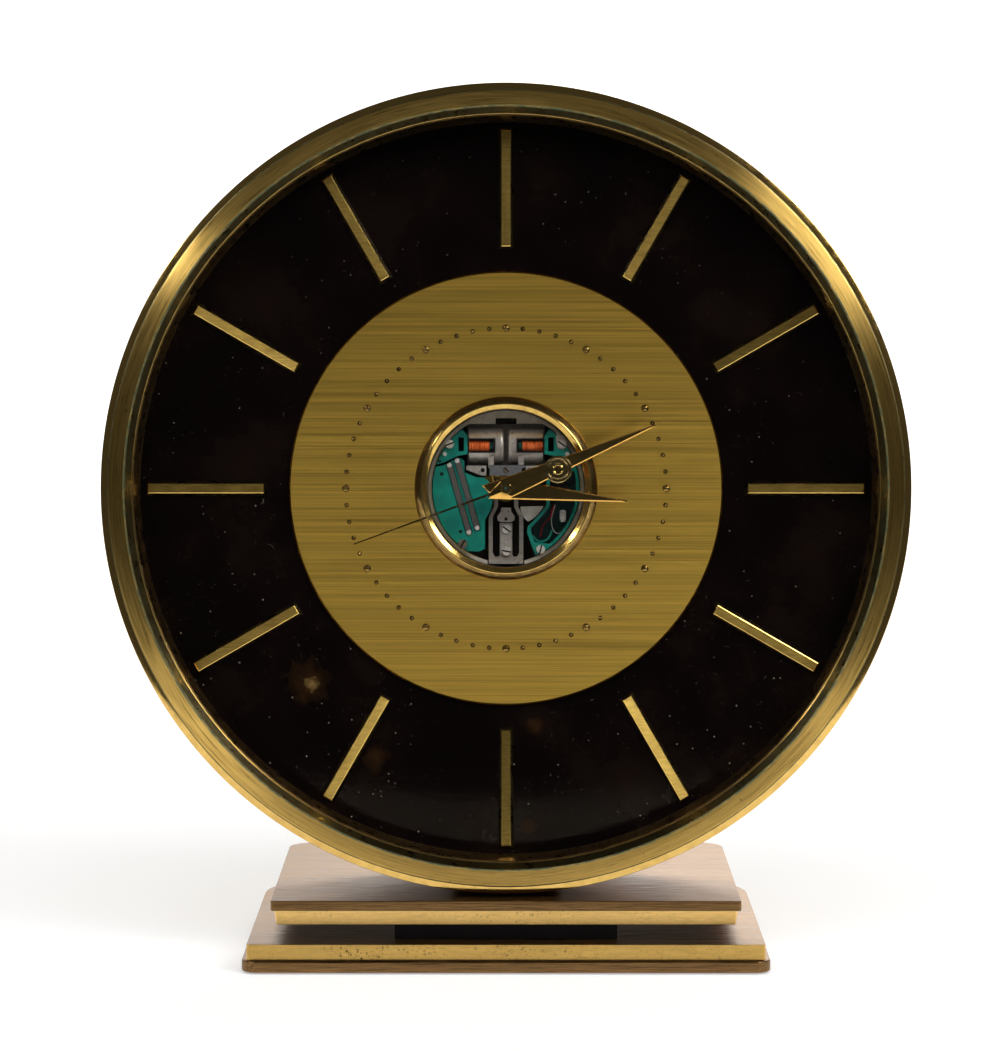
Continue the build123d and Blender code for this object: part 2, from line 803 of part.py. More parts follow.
capacitor_place = (10.3, -5.0)
with BuildPart() as capacitor:
    with BuildSketch(pocket_floor):
        with Locations(capacitor_place):
            RectangleRounded(capacitor_width, capacitor_length, capacitor_corner_radius)
    extrude(amount=capacitor_height)

lead_route = [(8.7, -2.9), (8.0, -5.2), (6.6, -6.9), (6.2, -8.8)]
with BuildPart() as red_lead:
    with BuildLine(pocket_floor.offset(2 * lead_radius)) as lead_path:
        FilletPolyline(*lead_route, radius=lead_bend_radius)
    with BuildSketch(Plane(origin=lead_path.line @ 0, z_dir=lead_path.line % 0)):
        RegularPolygon(lead_radius, lead_sides)
    sweep(path=lead_path.line)

# Steel plates at the front of the movement
bar_middle = ((bar_left + bar_right) / 2, (bar_top + bar_bottom) / 2)
bar_notch_place = (bar_right - 0.1, 3.2)
bar_pillar_place = (0, 3.35)
with BuildPart() as centre_bar:
    with BuildSketch(case.offset(bar_back)):
        with Locations(bar_middle):
            Rectangle(bar_right - bar_left, bar_top - bar_bottom)
        with Locations(bar_notch_place):
            Circle(bar_notch_radius, mode=Mode.SUBTRACT)
    extrude(amount=bar_thickness)
    with BuildSketch(case.offset(main_plate_front)):
        with Locations(bar_pillar_place):
            RegularPolygon(pillar_radius, pillar_sides)
    extrude(amount=bar_back - main_plate_front)

foot_edge = [(3.55, 4.1), (3.55, 2.3), (4.6, 2.35), (7.2, 3.4), (7.2, 4.1)]
foot_pillar_places = [(-6.0, 3.45), (6.0, 3.45)]
with BuildPart() as foot_plates:
    with BuildSketch(case.offset(bar_back)):
        with BuildLine():
            Polyline(*foot_edge, close=True)
        make_face()
        mirror(about=Plane.YZ)
    extrude(amount=bar_thickness / 2)
    with BuildSketch(case.offset(main_plate_front)):
        with Locations(*foot_pillar_places):
            RegularPolygon(pillar_radius - clearance, pillar_sides)
    extrude(amount=bar_back - main_plate_front)

with BuildPart() as fork_clamp:
    with BuildSketch(case.offset(fork_front)):
        with Locations((0, (clamp_top + clamp_bottom) / 2)):
            SlotOverall(clamp_top - clamp_bottom, 2 * clamp_half_width, rotation=90)
    extrude(amount=clamp_thickness)

wedge_edge = [(0, -3.5), (0.9, -3.5), (0.95, -4.2), (1.6, -5.1), (1.5, -5.8), (0.9, -6.1), (0, -6.1)]
wedge_pillar_place = (0, -4.5)
with BuildPart() as wedge_plate:
    with BuildSketch(case.offset(fork_front)):
        with BuildLine():
            Polyline(*wedge_edge)
            mirror(about=Plane.YZ)
        make_face()
    extrude(amount=clamp_thickness)
    with BuildSketch(case.offset(main_plate_front)):
        with Locations(wedge_pillar_place):
            RegularPolygon(pillar_radius, pillar_sides)
    extrude(amount=fork_front - main_plate_front)

quarter_left = (2.6, -3.3)
quarter_right = (6.8, -3.2)
quarter_foot = (4.0, -6.0)
quarter_pillar_place = (4.5, -4.2)
with BuildPart() as quarter_plate:
    with BuildSketch(case.offset(bar_back)):
        with BuildLine():
            Line(quarter_left, quarter_right)
            ThreePointArc(quarter_right, (5.7, -4.75), quarter_foot)
            ThreePointArc(quarter_foot, (3.0, -4.9), quarter_left)
        make_face()
    extrude(amount=bar_thickness)
    with BuildSketch(case.offset(main_plate_front)):
        with Locations(quarter_pillar_place):
            RegularPolygon(pillar_radius, pillar_sides)
    extrude(amount=bar_back - main_plate_front)

# Closed housing behind the main plate: the wheel train stays solid inside, the cell bay is open
cell_floor = housing_back + hatch_thickness + clearance + cell_thickness
with BuildPart() as train_housing:
    with BuildSketch(case.offset(housing_back)):
        Circle(housing_radius)
        with Locations((setting_x, setting_y)):
            Circle(setting_shaft_radius + shaft_clearance, mode=Mode.SUBTRACT)
    extrude(amount=main_plate_back - housing_back)
    with BuildSketch(case.offset(housing_back)):
        with Locations((cell_x, 0)):
            Circle(cell_radius + cell_clearance)
    extrude(amount=cell_floor - housing_back, mode=Mode.SUBTRACT)
    with BuildSketch(case.offset(housing_back)):
        with Locations((cell_x, 0)):
            Circle(hatch_radius + cell_clearance)
    extrude(amount=hatch_thickness, mode=Mode.SUBTRACT)

with BuildPart() as battery_cell:
    with BuildSketch(case.offset(cell_floor - cell_thickness)):
        with Locations((cell_x, 0)):
            Circle(cell_radius)
    extrude(amount=cell_thickness)

with BuildPart() as battery_hatch:
    with BuildSketch(case.offset(housing_back)):
        with Locations((cell_x, 0)):
            Circle(hatch_radius)
    extrude(amount=hatch_thickness)
    with BuildSketch(case.offset(housing_back)):
        with Locations((cell_x, 0)):
            Rectangle(hatch_slot_width, hatch_slot_length)
    extrude(amount=hatch_slot_depth, mode=Mode.SUBTRACT)

# Back cover with a turned-in collar round the movement
with BuildPart() as back_cover:
    with BuildSketch(case_section):
        with BuildLine():
            Polyline(
                (back_opening_radius, shell_back_height),
                (insert_radius, shell_back_height),
                (insert_radius, cover_inside),
                (back_opening_radius + back_collar_wall, cover_inside),
                (back_opening_radius + back_collar_wall, back_collar_height),
                (back_opening_radius, back_collar_height),
                close=True,
            )
        make_face()
    revolve(axis=case_axis)

# Seconds arbor and hand
seconds_plane = hand_plane(seconds_hand_height, seconds_hand_angle)
with BuildPart() as seconds_arbor:
    with BuildSketch(case.offset(main_plate_back + case_fit)):
        Circle(seconds_arbor_radius)
    extrude(amount=seconds_hand_height + collet_height - main_plate_back - case_fit)

with BuildPart() as seconds_hand:
    with BuildSketch(seconds_plane):
        with BuildLine():
            Polyline(
                (seconds_tip_width / 2, seconds_hand_length),
                (seconds_hand_width / 2, 0),
                (seconds_hand_width, -counterweight_distance),
                (-seconds_hand_width, -counterweight_distance),
                (-seconds_hand_width / 2, 0),
                (-seconds_tip_width / 2, seconds_hand_length),
                close=True,
            )
        make_face()
        Circle(seconds_collet_radius)
        with Locations((0, -counterweight_distance)):
            Circle(counterweight_radius)
            Circle(counterweight_hole_radius, mode=Mode.SUBTRACT)
    extrude(amount=seconds_hand_thickness)
    with BuildSketch(seconds_plane):
        Circle(seconds_collet_radius)
    extrude(amount=collet_height)
    with BuildSketch(seconds_plane):
        Circle(seconds_arbor_radius)
    extrude(amount=collet_height, mode=Mode.SUBTRACT)

# Cannon pinion and minute hand
cannon_bottom = minute_wheel_bottom - pinion_overhang
with BuildPart() as cannon_pinion:
    with BuildSketch(case.offset(cannon_bottom)):
        Polygon(*gear_points(cannon_teeth, cannon_module, 0), align=None)
    extrude(amount=wheel_thickness + 2 * pinion_overhang)
    with BuildSketch(case.offset(cannon_bottom)):
        Circle(cannon_radius)
    extrude(amount=minute_hand_height + collet_height - cannon_bottom)
    with BuildSketch(case.offset(cannon_bottom)):
        Circle(seconds_arbor_radius + shaft_clearance)
    extrude(amount=minute_hand_height + collet_height - cannon_bottom, mode=Mode.SUBTRACT)

minute_hand = hand(
    minute_hand_height,
    minute_hand_angle,
    minute_hand_length,
    minute_hand_tail,
    minute_collet_radius,
    cannon_radius,
)

# Minute wheel with its pinion, turning on the stud of the main plate
minute_wheel_phase = 180 / minute_wheel_teeth
with BuildPart() as minute_wheel:
    with BuildSketch(case.offset(minute_wheel_bottom)):
        with Locations(minute_stud):
            Polygon(*gear_points(minute_wheel_teeth, cannon_module, minute_wheel_phase), align=None)
    extrude(amount=wheel_thickness)
    with BuildSketch(case.offset(minute_wheel_bottom + wheel_thickness)):
        with Locations(minute_stud):
            Polygon(*gear_points(minute_pinion_teeth, hour_module, 0), align=None)
    extrude(amount=wheel_thickness + 3 * pinion_overhang)
    with BuildSketch(case.offset(minute_wheel_bottom)):
        with Locations(minute_stud):
            Circle(stud_radius + shaft_clearance)
    extrude(amount=3 * wheel_thickness, mode=Mode.SUBTRACT)

# Hour wheel, whose pipe carries the hour hand
with BuildPart() as hour_wheel:
    with BuildSketch(case.offset(hour_wheel_bottom)):
        Polygon(*gear_points(hour_wheel_teeth, hour_module, 180 / hour_wheel_teeth), align=None)
    extrude(amount=wheel_thickness)
    with BuildSketch(case.offset(hour_wheel_bottom)):
        Circle(hour_pipe_radius)
    extrude(amount=hour_hand_height + collet_height - hour_wheel_bottom)
    with BuildSketch(case.offset(hour_wheel_bottom)):
        Circle(cannon_radius + shaft_clearance)
    extrude(amount=hour_hand_height + collet_height - hour_wheel_bottom, mode=Mode.SUBTRACT)

hour_hand = hand(
    hour_hand_height,
    hour_hand_angle,
    hour_hand_length,
    hour_hand_tail,
    hour_collet_radius,
    hour_pipe_radius,
)

# Plane across the setting shaft, on which the cross pin is drawn
cross_plane = Plane(origin=case.origin, x_dir=case.y_dir, z_dir=case.x_dir).offset(setting_x)

# Setting shaft: pinion in mesh with the minute wheel at the front, a cross head at the back
head_back = housing_back - clearance - handle_head_height
pin_level = housing_back - clearance - handle_head_height / 2
head_half = handle_head_length / 2
with BuildPart() as setting_shaft:
    with BuildSketch(case.offset(minute_wheel_bottom - pinion_overhang)):
        with Locations((setting_x, setting_y)):
            Polygon(*gear_points(setting_teeth, cannon_module, 0), align=None)
    extrude(amount=wheel_thickness + 2 * pinion_overhang)
    with BuildSketch(case.offset(head_back)):
        with Locations((setting_x, setting_y)):
            Circle(setting_shaft_radius)
    extrude(amount=minute_wheel_bottom - head_back)
    with BuildSketch(case.offset(head_back)):
        with Locations((setting_x, setting_y)):
            RectangleRounded(handle_head_length, handle_head_width, handle_head_width / 3)
    extrude(amount=handle_head_height)
    with BuildSketch(cross_plane):
        with Locations((setting_y, pin_level)):
            Circle(handle_pin_radius)
    extrude(amount=head_half + handle_side_gap + handle_arm_width, both=True)

# Folding handle, a flat bail hinged on the shaft's cross pin
bail_inner = head_half + handle_side_gap
bail_outer = bail_inner + handle_arm_width
with BuildPart() as setting_handle:
    with BuildSketch(case.offset(pin_level - handle_thickness / 2)):
        with Locations((setting_x, setting_y - handle_straight)):
            Circle(bail_outer)
            Rectangle(2 * bail_outer, bail_outer, align=(Align.CENTER, Align.MIN), mode=Mode.SUBTRACT)
            Rectangle(2 * bail_outer, handle_straight, align=(Align.CENTER, Align.MIN))
        with Locations((setting_x - bail_outer + handle_arm_width / 2, setting_y)):
            Circle(handle_arm_width / 2)
        with Locations((setting_x + bail_outer - handle_arm_width / 2, setting_y)):
            Circle(handle_arm_width / 2)
        with Locations((setting_x, setting_y - handle_straight)):
            Circle(bail_inner, mode=Mode.SUBTRACT)
            Rectangle(
                2 * bail_inner,
                handle_straight + handle_arm_width,
                align=(Align.CENTER, Align.MIN),
                mode=Mode.SUBTRACT,
            )
    extrude(amount=handle_thickness)
    with BuildSketch(cross_plane):
        with Locations((setting_y, pin_level)):
            Circle(handle_pin_radius + shaft_clearance)
    extrude(amount=bail_outer, both=True, mode=Mode.SUBTRACT)

pieces = {
    "base_pad": base_pad.part,
    "lower_plate": lower_plate.part,
    "lower_band": lower_band.part,
    "spacer_block": spacer_block.part,
    "upper_band": upper_band.part,
    "upper_plate": upper_plate.part,
    "case_saddle": case_saddle.part,
    "saddle_nut": saddle_nut.part,
    "base_bolts": base_bolts.part,
    "drum_shell": drum_shell.part,
    "bezel_ring": bezel_ring.part,
    "crystal": crystal.part,
    "rehaut_ring": rehaut_ring.part,
    "dial_plate": dial_plate.part,
    "hour_batons": hour_batons.part,
    "dial_disc": dial_disc.part,
    "aperture_ring": aperture_ring.part,
    "movement_holder": movement_holder.part,
    "back_cover": back_cover.part,
    "main_plate": main_plate.part,
    "tuning_fork": tuning_fork.part,
    "cup_magnet_left": mirror(cup_magnet.part, about=Plane.YZ),
    "cup_magnet_right": cup_magnet.part,
    "coil_left": mirror(coil.part, about=Plane.YZ),
    "coil_right": coil.part,
    "coil_form_left": mirror(coil_form.part, about=Plane.YZ),
    "coil_form_right": coil_form.part,
    "circuit_plate": circuit_plate.part,
    "contact_straps": contact_straps.part,
    "circuit_frame": circuit_frame.part,
    "transistor": transistor.part,
    "capacitor": capacitor.part,
    "red_lead": red_lead.part,
    "centre_bar": centre_bar.part,
    "foot_plates": foot_plates.part,
    "fork_clamp": fork_clamp.part,
    "wedge_plate": wedge_plate.part,
    "quarter_plate": quarter_plate.part,
    "train_housing": train_housing.part,
    "battery_cell": battery_cell.part,
    "battery_hatch": battery_hatch.part,
    "seconds_arbor": seconds_arbor.part,
    "seconds_hand": seconds_hand.part,
    "cannon_pinion": cannon_pinion.part,
    "minute_hand": minute_hand,
    "minute_wheel": minute_wheel.part,
    "hour_wheel": hour_wheel.part,
    "hour_hand": hour_hand,
    "setting_shaft": setting_shaft.part,
    "setting_handle": setting_handle.part,
}
for name, piece in pieces.items():
    piece.label = name
    export_step(piece, f"parts/{name}.step")
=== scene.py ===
import json
from math import atan2, cos, pi, radians, sin, tan

import bmesh
import bpy
from mathutils import Matrix, Vector


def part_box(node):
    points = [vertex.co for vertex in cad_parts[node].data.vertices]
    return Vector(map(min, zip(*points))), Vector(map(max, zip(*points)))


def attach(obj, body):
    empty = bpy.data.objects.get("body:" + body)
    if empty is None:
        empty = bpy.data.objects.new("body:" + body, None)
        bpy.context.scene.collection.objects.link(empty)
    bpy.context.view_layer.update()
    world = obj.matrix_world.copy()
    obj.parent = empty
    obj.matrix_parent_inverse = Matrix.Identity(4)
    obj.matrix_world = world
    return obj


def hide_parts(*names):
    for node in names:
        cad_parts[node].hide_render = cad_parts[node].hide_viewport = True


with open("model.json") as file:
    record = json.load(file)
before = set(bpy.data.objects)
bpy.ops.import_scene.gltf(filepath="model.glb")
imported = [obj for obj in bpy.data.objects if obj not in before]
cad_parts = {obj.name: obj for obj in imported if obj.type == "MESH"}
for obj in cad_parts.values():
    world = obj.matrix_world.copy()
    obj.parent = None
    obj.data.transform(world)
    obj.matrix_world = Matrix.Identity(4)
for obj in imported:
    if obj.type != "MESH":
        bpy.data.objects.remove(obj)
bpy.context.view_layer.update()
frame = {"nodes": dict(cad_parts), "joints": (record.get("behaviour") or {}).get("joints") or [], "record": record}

MM = 0.001

# The case frame: z leaves the dial towards the viewer, y runs up the dial
minute_joint = next(joint for joint in frame["joints"] if joint["name"] == "minute_turn")
MINUTE_JOINT_HEIGHT = 4.0
dial_normal = -Vector(minute_joint["axis"]).normalized()
dial_right = Vector((1, 0, 0))
dial_up = dial_normal.cross(dial_right)
dial_centre = Vector(minute_joint["pos_m"]) - dial_normal * MINUTE_JOINT_HEIGHT * MM
CASE = Matrix((dial_right, dial_up, dial_normal)).transposed().to_4x4()
CASE.translation = dial_centre

# Sizes in millimetres and angles in degrees. Heights count from the dial's face towards the viewer
BEZEL_RADIUS = 71.7
BEZEL_CHAMFER = 1.2
BEZEL_CHAMFER_DEPTH = 0.19
BEZEL_LINE = 0.2
BEZEL_FACE_INNER = 67.4
BEZEL_FALL = 0.22
SIGHT_RADIUS = 66.3
BEZEL_FACE = 12.0
BEZEL_BACK = 7.0
BEZEL_LIP = 9.0
SHELL_RADIUS = 69.5
SHELL_BORE = 67.6
SHELL_BACK = -18.6
COVER_INSIDE = -17.0
INSERT_RADIUS = 67.5
CRYSTAL_BACK = 7.4
REHAUT_FOOT = 65.8
DIAL_THICKNESS = 1.2
DISC_RADIUS = 39.0
DISC_HEIGHT = 1.0
BATON_START = 43.0
BATON_LENGTH = 21.8
BATON_WIDTH = 2.7
BATON_TOP = 1.5
BATON_EDGE = 0.12
RING_SIGHT = 14.2
RING_BACK = -2.2
RING_BARREL = 15.4
RING_FLANGE = 16.5
RING_CREST = 15.2
RING_HEIGHT = 2.3
DIAL_BORE = RING_BARREL + 0.05
PIT_REACH = 28.8
PIT_RADIUS = 0.42
HOUR_PIT_RADIUS = 0.7
LUG_REACH = 64.6
LUG_HALF = 3.1
LUG_TURNS = (45, 135, 225, 315)
GREEN_TOP = -1.8
BAR_FRONT = -2.4
CLAMP_FRONT = -4.2
POCKET_FLOOR = -6.0
FORK_PLANE = -5.4
MAGNET_LEVEL = 7.75
HAND_THICKNESS = 0.35
HAND_SIDE = 0.24
COLLET_HEIGHT = 0.45
HOUR_HAND_BACK = 2.9
HOUR_HAND_ANGLE = 96.1
MINUTE_HAND_BACK = 4.0
MINUTE_HAND_ANGLE = 67.1
MINUTE_HAND_LENGTH = 29.0
SECONDS_HAND_ANGLE = 249.9
SECONDS_HAND_LENGTH = 29.0
SECONDS_TOP = 5.45
WEIGHT_REACH = 9.9


def linear(code):
    """Linear colour from a hexadecimal sRGB code."""
    values = [int(code[i : i + 2], 16) / 255 for i in (1, 3, 5)]
    return tuple(v / 12.92 if v <= 0.04045 else ((v + 0.055) / 1.055) ** 2.4 for v in values) + (1.0,)


class Nodes:
    """A shader node tree and short ways to fill it."""

    def __init__(self, owner):
        owner.use_nodes = True
        self.tree = owner.node_tree

    def feed(self, target, value):
        if isinstance(value, bpy.types.NodeSocket):
            self.tree.links.new(value, target)
        else:
            target.default_value = value

    def add(self, kind, inputs=None, **settings):
        node = self.tree.nodes.new("ShaderNode" + kind)
        for key, value in settings.items():
            setattr(node, key, value)
        for socket, value in (inputs or {}).items():
            self.feed(node.inputs[socket], value)
        return node

    def math(self, operation, first, second=0.0):
        return self.add("Math", {0: first, 1: second}, operation=operation).outputs[0]

    def range(self, value, low, high, start=0.0, end=1.0):
        inputs = {"Value": value, "From Min": low, "From Max": high, "To Min": start, "To Max": end}
        return self.add("MapRange", inputs).outputs[0]

    def axes(self, vector):
        return self.add("SeparateXYZ", {"Vector": vector}).outputs


class Shade(Nodes):
    """One procedural material: a Principled surface and the nodes that feed it."""

    def __init__(self, name, color, metallic=0.0, roughness=0.4, **constants):
        self.material = bpy.data.materials.new(name)
        super().__init__(self.material)
        self.surface = self.tree.nodes["Principled BSDF"]
        self.set("Base Color", color)
        self.set("Metallic", metallic)
        self.set("Roughness", roughness)
        for socket, value in constants.items():
            self.set(socket.replace("_", " "), value)

    def set(self, socket, value):
        self.feed(self.surface.inputs[socket], value)

    def place(self, stretch=(1, 1, 1)):
        """Position in the piece's own frame, in millimetres, stretched along each axis."""
        source = self.add("TexCoord").outputs["Object"]
        scale = [s / MM for s in stretch]
        return self.add("Mapping", {"Vector": source, "Scale": scale}).outputs["Vector"]

    def polar(self, across, along):
        """Position for marks that run round the piece's z axis."""
        x, y, z = self.axes(self.place())
        flat = self.add("CombineXYZ", {"X": x, "Y": y}).outputs[0]
        radius = self.add("VectorMath", {0: flat}, operation="LENGTH").outputs["Value"]
        unit = self.add("VectorMath", {0: flat}, operation="NORMALIZE").outputs[0]
        ux, uy, _ = self.axes(unit)
        inputs = {
            "X": self.math("MULTIPLY", self.math("ADD", radius, z), across),
            "Y": self.math("MULTIPLY", ux, along),
            "Z": self.math("MULTIPLY", uy, along),
        }
        return self.add("CombineXYZ", inputs).outputs[0], radius

    def noise(self, vector, scale=1.0, detail=3.0, roughness=0.55):
        inputs = {"Vector": vector, "Scale": scale, "Detail": detail, "Roughness": roughness}
        return self.add("TexNoise", inputs).outputs[0]

    def specks(self, vector, scale, size, share):
        """Up to one inside small round specks, in this share of the cells, and zero elsewhere."""
        cells = self.add("TexVoronoi", {"Vector": vector, "Scale": scale}).outputs
        pick, dim, _ = self.axes(cells["Color"])
        inside = self.range(cells["Distance"], size, size * 0.4, 0.0, 1.0)
        inside = self.math("MULTIPLY", inside, self.math("LESS_THAN", pick, share))
        return self.math("MULTIPLY", inside, self.range(dim, 0.0, 1.0, 0.4, 1.0))

    def hairs(self, vector, scale, width, share):
        """Short curved hairlines, where a second noise is high."""
        level = self.math("ABSOLUTE", self.math("SUBTRACT", self.noise(vector, scale, 1.0), 0.5))
        line = self.range(level, width, width * 0.3, 0.0, 1.0)
        where = self.noise(vector, scale * 0.9, 1.0)
        return self.math("MULTIPLY", line, self.range(where, share, share + 0.02))

    def spot(self, vector, x, y, size):
        """One near a place on the piece, with a ragged edge."""
        away = self.add("VectorMath", {0: vector, 1: (x, y, 0)}, operation="DISTANCE").outputs["Value"]
        ragged = self.range(self.noise(vector, 1.6 / size, 4.0), 0.2, 0.8, -0.5 * size, 0.5 * size)
        return self.range(self.math("ADD", away, ragged), size, 0.0)

    def recess_shade(self, vector, low, high):
        """One at and below the low height, zero from the high one up: the mask of a painted shade in recesses."""
        return self.range(self.axes(vector)[2], high, low)

    def mix(self, factor, first, second):
        node = self.add("Mix", data_type="RGBA")
        self.feed(node.inputs["Factor"], factor)
        self.feed(node.inputs[6], first)
        self.feed(node.inputs[7], second)
        return node.outputs[2]

    def bump(self, height, strength, distance):
        inputs = {"Height": height, "Strength": strength, "Distance": distance * MM}
        self.set("Normal", self.add("Bump", inputs).outputs[0])

    def tangent(self, direction):
        """Direction of the brushing: round the z axis, or along the flat map's first axis."""
        if direction == "round":
            node = self.add("Tangent", direction_type="RADIAL", axis="Z")
        else:
            node = self.add("Tangent", direction_type="UV_MAP", uv_map="flat")
        self.set("Tangent", node.outputs[0])


BRASS = (0.86, 0.56, 0.15, 1.0)
DARK_BRASS = (0.42, 0.25, 0.06, 1.0)


def round_brushed(name, tone, dark, roughness, verdigris=None, aniso=0.9):
    """Brass with fine scratches that run round the axis."""
    shade = Shade(name, tone, metallic=1.0, Anisotropic=aniso, Anisotropic_Rotation=0.25)
    shade.tangent("round")
    fine, radius = shade.polar(4.0, 7.0)
    coarse, _ = shade.polar(1.5, 2.0)
    lines = shade.noise(fine, detail=4.0, roughness=0.7)
    cloud = shade.noise(coarse, detail=3.0)
    color = shade.mix(shade.range(lines, 0.32, 0.56, 0.25, 1.0), dark, tone)
    color = shade.mix(shade.range(cloud, 0.45, 0.75, 0.0, 0.35), color, dark)
    place = shade.place()
    marks = shade.math("MULTIPLY", shade.specks(place, 0.7, 0.2, 0.07), 0.8)
    color = shade.mix(marks, color, linear("#2c1c0c"))
    if verdigris:
        edge = shade.math("ABSOLUTE", shade.math("SUBTRACT", radius, verdigris))
        patch = shade.noise(place, scale=0.5, detail=6.0)
        near = shade.range(edge, 0.38, 0.28, 0.0, 1.0)
        stain = shade.math("MULTIPLY", near, shade.range(patch, 0.35, 0.55, 0.6, 0.95))
        color = shade.mix(stain, color, linear("#28483c"))
        shade.set("Metallic", shade.range(stain, 0.0, 1.0, 1.0, 0.2))
    shade.set("Base Color", color)
    shade.set("Roughness", shade.range(lines, 0.3, 0.7, roughness - 0.05, roughness + 0.07))
    shade.bump(lines, 0.25, 0.02)
    return shade.material


def line_brushed(
    name, tone, dark, roughness, across, strength, aniso=0.8, streaks=0.5, pits=0.0, darkest=0.1, swing=0.1
):
    """Metal with fine scratches along the flat map's first axis, long darker streaks and some pits."""
    shade = Shade(name, tone, metallic=1.0, Anisotropic=aniso, Anisotropic_Rotation=0.25)
    shade.tangent("flat")
    lines = shade.noise(shade.place(across), detail=5.0, roughness=0.75)
    broad = shade.noise(shade.place([a * 0.16 for a in across]), detail=3.0)
    streak = shade.noise(shade.place([a * b for a, b in zip(across, (0.7, 0.35, 0.35))]), detail=2.0)
    color = shade.mix(shade.range(lines, 0.34, 0.6, darkest, 1.0), dark, tone)
    color = shade.mix(shade.range(broad, 0.4, 0.7, 0.0, 0.3), color, dark)
    color = shade.mix(shade.range(streak, 0.4, 0.32, 0.0, streaks), color, dark)
    place = shade.place()
    if pits:
        side = shade.axes(place)[0]
        where = shade.range(shade.noise(place, scale=0.09, detail=2.0), 0.42, 0.6, 0.1, 1.0)
        where = shade.math("MULTIPLY", where, shade.range(side, 25.0, -35.0, 0.35, 1.0))
        marks = shade.specks(place, 1.1, 0.36, 0.4)
        marks = shade.math("MAXIMUM", marks, shade.specks(place, 2.2, 0.4, 0.5))
        marks = shade.math("MULTIPLY", shade.math("MULTIPLY", marks, where), pits)
        color = shade.mix(marks, color, linear("#20140a"))
    dust = shade.math("MULTIPLY", shade.specks(place, 0.55, 0.06, 0.12), 0.5)
    shade.set("Base Color", shade.mix(dust, color, linear("#c9b183")))
    shade.set("Roughness", shade.range(lines, 0.3, 0.7, roughness - 0.06, roughness + swing))
    shade.bump(lines, strength, 0.02)
    return shade.material


def polished(name, tone, dark, roughness, haze_mix=0.35):
    """Polished brass with a little haze."""
    shade = Shade(name, tone, metallic=1.0, roughness=roughness)
    haze = shade.noise(shade.place(), scale=0.5, detail=4.0)
    shade.set("Base Color", shade.mix(shade.range(haze, 0.35, 0.7, 0.0, haze_mix), tone, dark))
    shade.set("Roughness", shade.range(haze, 0.3, 0.7, roughness * 0.7, roughness * 1.5))
    return shade.material


def black_lacquer():
    """Gloss black dial with dust, hairs and a few brown stains."""
    shade = Shade("black_lacquer", linear("#070403"), roughness=0.12, Specular_IOR_Level=0.1)
    shade.set("Specular Tint", (1.0, 0.80, 0.60, 1.0))
    place = shade.place()
    cloud = shade.noise(place, scale=0.05, detail=5.0)
    color = shade.mix(shade.range(cloud, 0.45, 0.75), linear("#060303"), linear("#130b08"))
    height = shade.axes(place)[1]
    low = shade.range(height, 30.0, -60.0, 0.3, 1.0)
    dust = shade.specks(place, 0.75, 0.12, 0.2)
    dust = shade.math("MAXIMUM", dust, shade.specks(place, 1.7, 0.12, 0.16))
    dust = shade.math("MAXIMUM", dust, shade.hairs(place, 0.3, 0.0025, 0.74))
    dust = shade.math("MULTIPLY", dust, low)
    color = shade.mix(shade.math("MULTIPLY", dust, 0.9), color, linear("#a89e8c"))
    for x, y, size, share, stain in (
        (-35.6, -35.0, 4.6, 0.65, "#2e1c0a"),
        (5.2, -42.7, 1.9, 0.65, "#2e1c0a"),
        (4.0, -60.9, 1.8, 0.65, "#2e1c0a"),
        (-23.5, -48.5, 2.6, 0.65, "#2e1c0a"),
        (-35.0, -35.2, 1.5, 0.7, "#7a6038"),
    ):
        color = shade.mix(shade.math("MULTIPLY", shade.spot(place, x, y, size), share), color, linear(stain))
    shade.set("Base Color", color)
    shade.set("Roughness", shade.range(dust, 0.0, 1.0, 0.12, 0.4))
    shade.bump(dust, 0.08, 0.03)
    return shade.material


def metal_grain(name, tone, dark, roughness, scale, strength, metallic, depth=None):
    """Nickel or steel with an even fine grain. depth gives the heights at which a painted shade in the recesses is
    nearly black and at which it ends.
    """
    shade = Shade(name, tone, metallic=metallic, roughness=roughness)
    place = shade.place()
    grain = shade.noise(place, scale=scale, detail=3.0, roughness=0.6)
    broad = shade.noise(place, scale=scale * 0.12, detail=3.0)
    color = shade.mix(shade.range(grain, 0.3, 0.6, 0.5, 1.0), dark, tone)
    color = shade.mix(shade.range(broad, 0.35, 0.7, 0.0, 0.35), color, dark)
    if depth:
        # Painted shade: below the depth heights the grain turns dark brown, as shade in the recesses.
        color = shade.mix(shade.recess_shade(place, *depth), color, linear("#1a130d"))
    shade.set("Base Color", color)
    shade.set("Roughness", shade.range(grain, 0.3, 0.7, roughness - 0.06, roughness + 0.08))
    shade.bump(grain, strength, 0.02)
    return shade.material


def moulded(name, tone, dark, roughness, coat=0.3, depth=None, specular=0.35):
    """Moulded plastic or lacquer with slight colour drift and a soft uneven skin. depth gives the heights of a painted
    shade that darkens the deep parts.
    """
    shade = Shade(name, tone, roughness=roughness, Coat_Weight=coat, Coat_Roughness=0.15, Specular_IOR_Level=specular)
    place = shade.place()
    drift = shade.noise(place, scale=0.375, detail=4.0)
    skin = shade.noise(place, scale=6.0)
    color = shade.mix(shade.range(drift, 0.3, 0.7), dark, tone)
    if depth:
        # Painted shade: the deep parts turn dark green.
        color = shade.mix(shade.recess_shade(place, *depth), color, linear("#062420"))
    shade.set("Base Color", color)
    shade.set("Roughness", shade.range(skin, 0.3, 0.7, roughness - 0.06, roughness + 0.1))
    shade.bump(skin, 0.12, 0.03)
    return shade.material


def felt(name, tone, dark):
    """Short-napped felt."""
    shade = Shade(name, tone, roughness=0.95, Sheen_Weight=0.4, Sheen_Roughness=0.6)
    place = shade.place()
    nap = shade.noise(place, scale=5.0, detail=6.0, roughness=0.8)
    shade.set("Base Color", shade.mix(shade.range(nap, 0.3, 0.7), dark, tone))
    shade.bump(nap, 0.9, 0.15)
    return shade.material


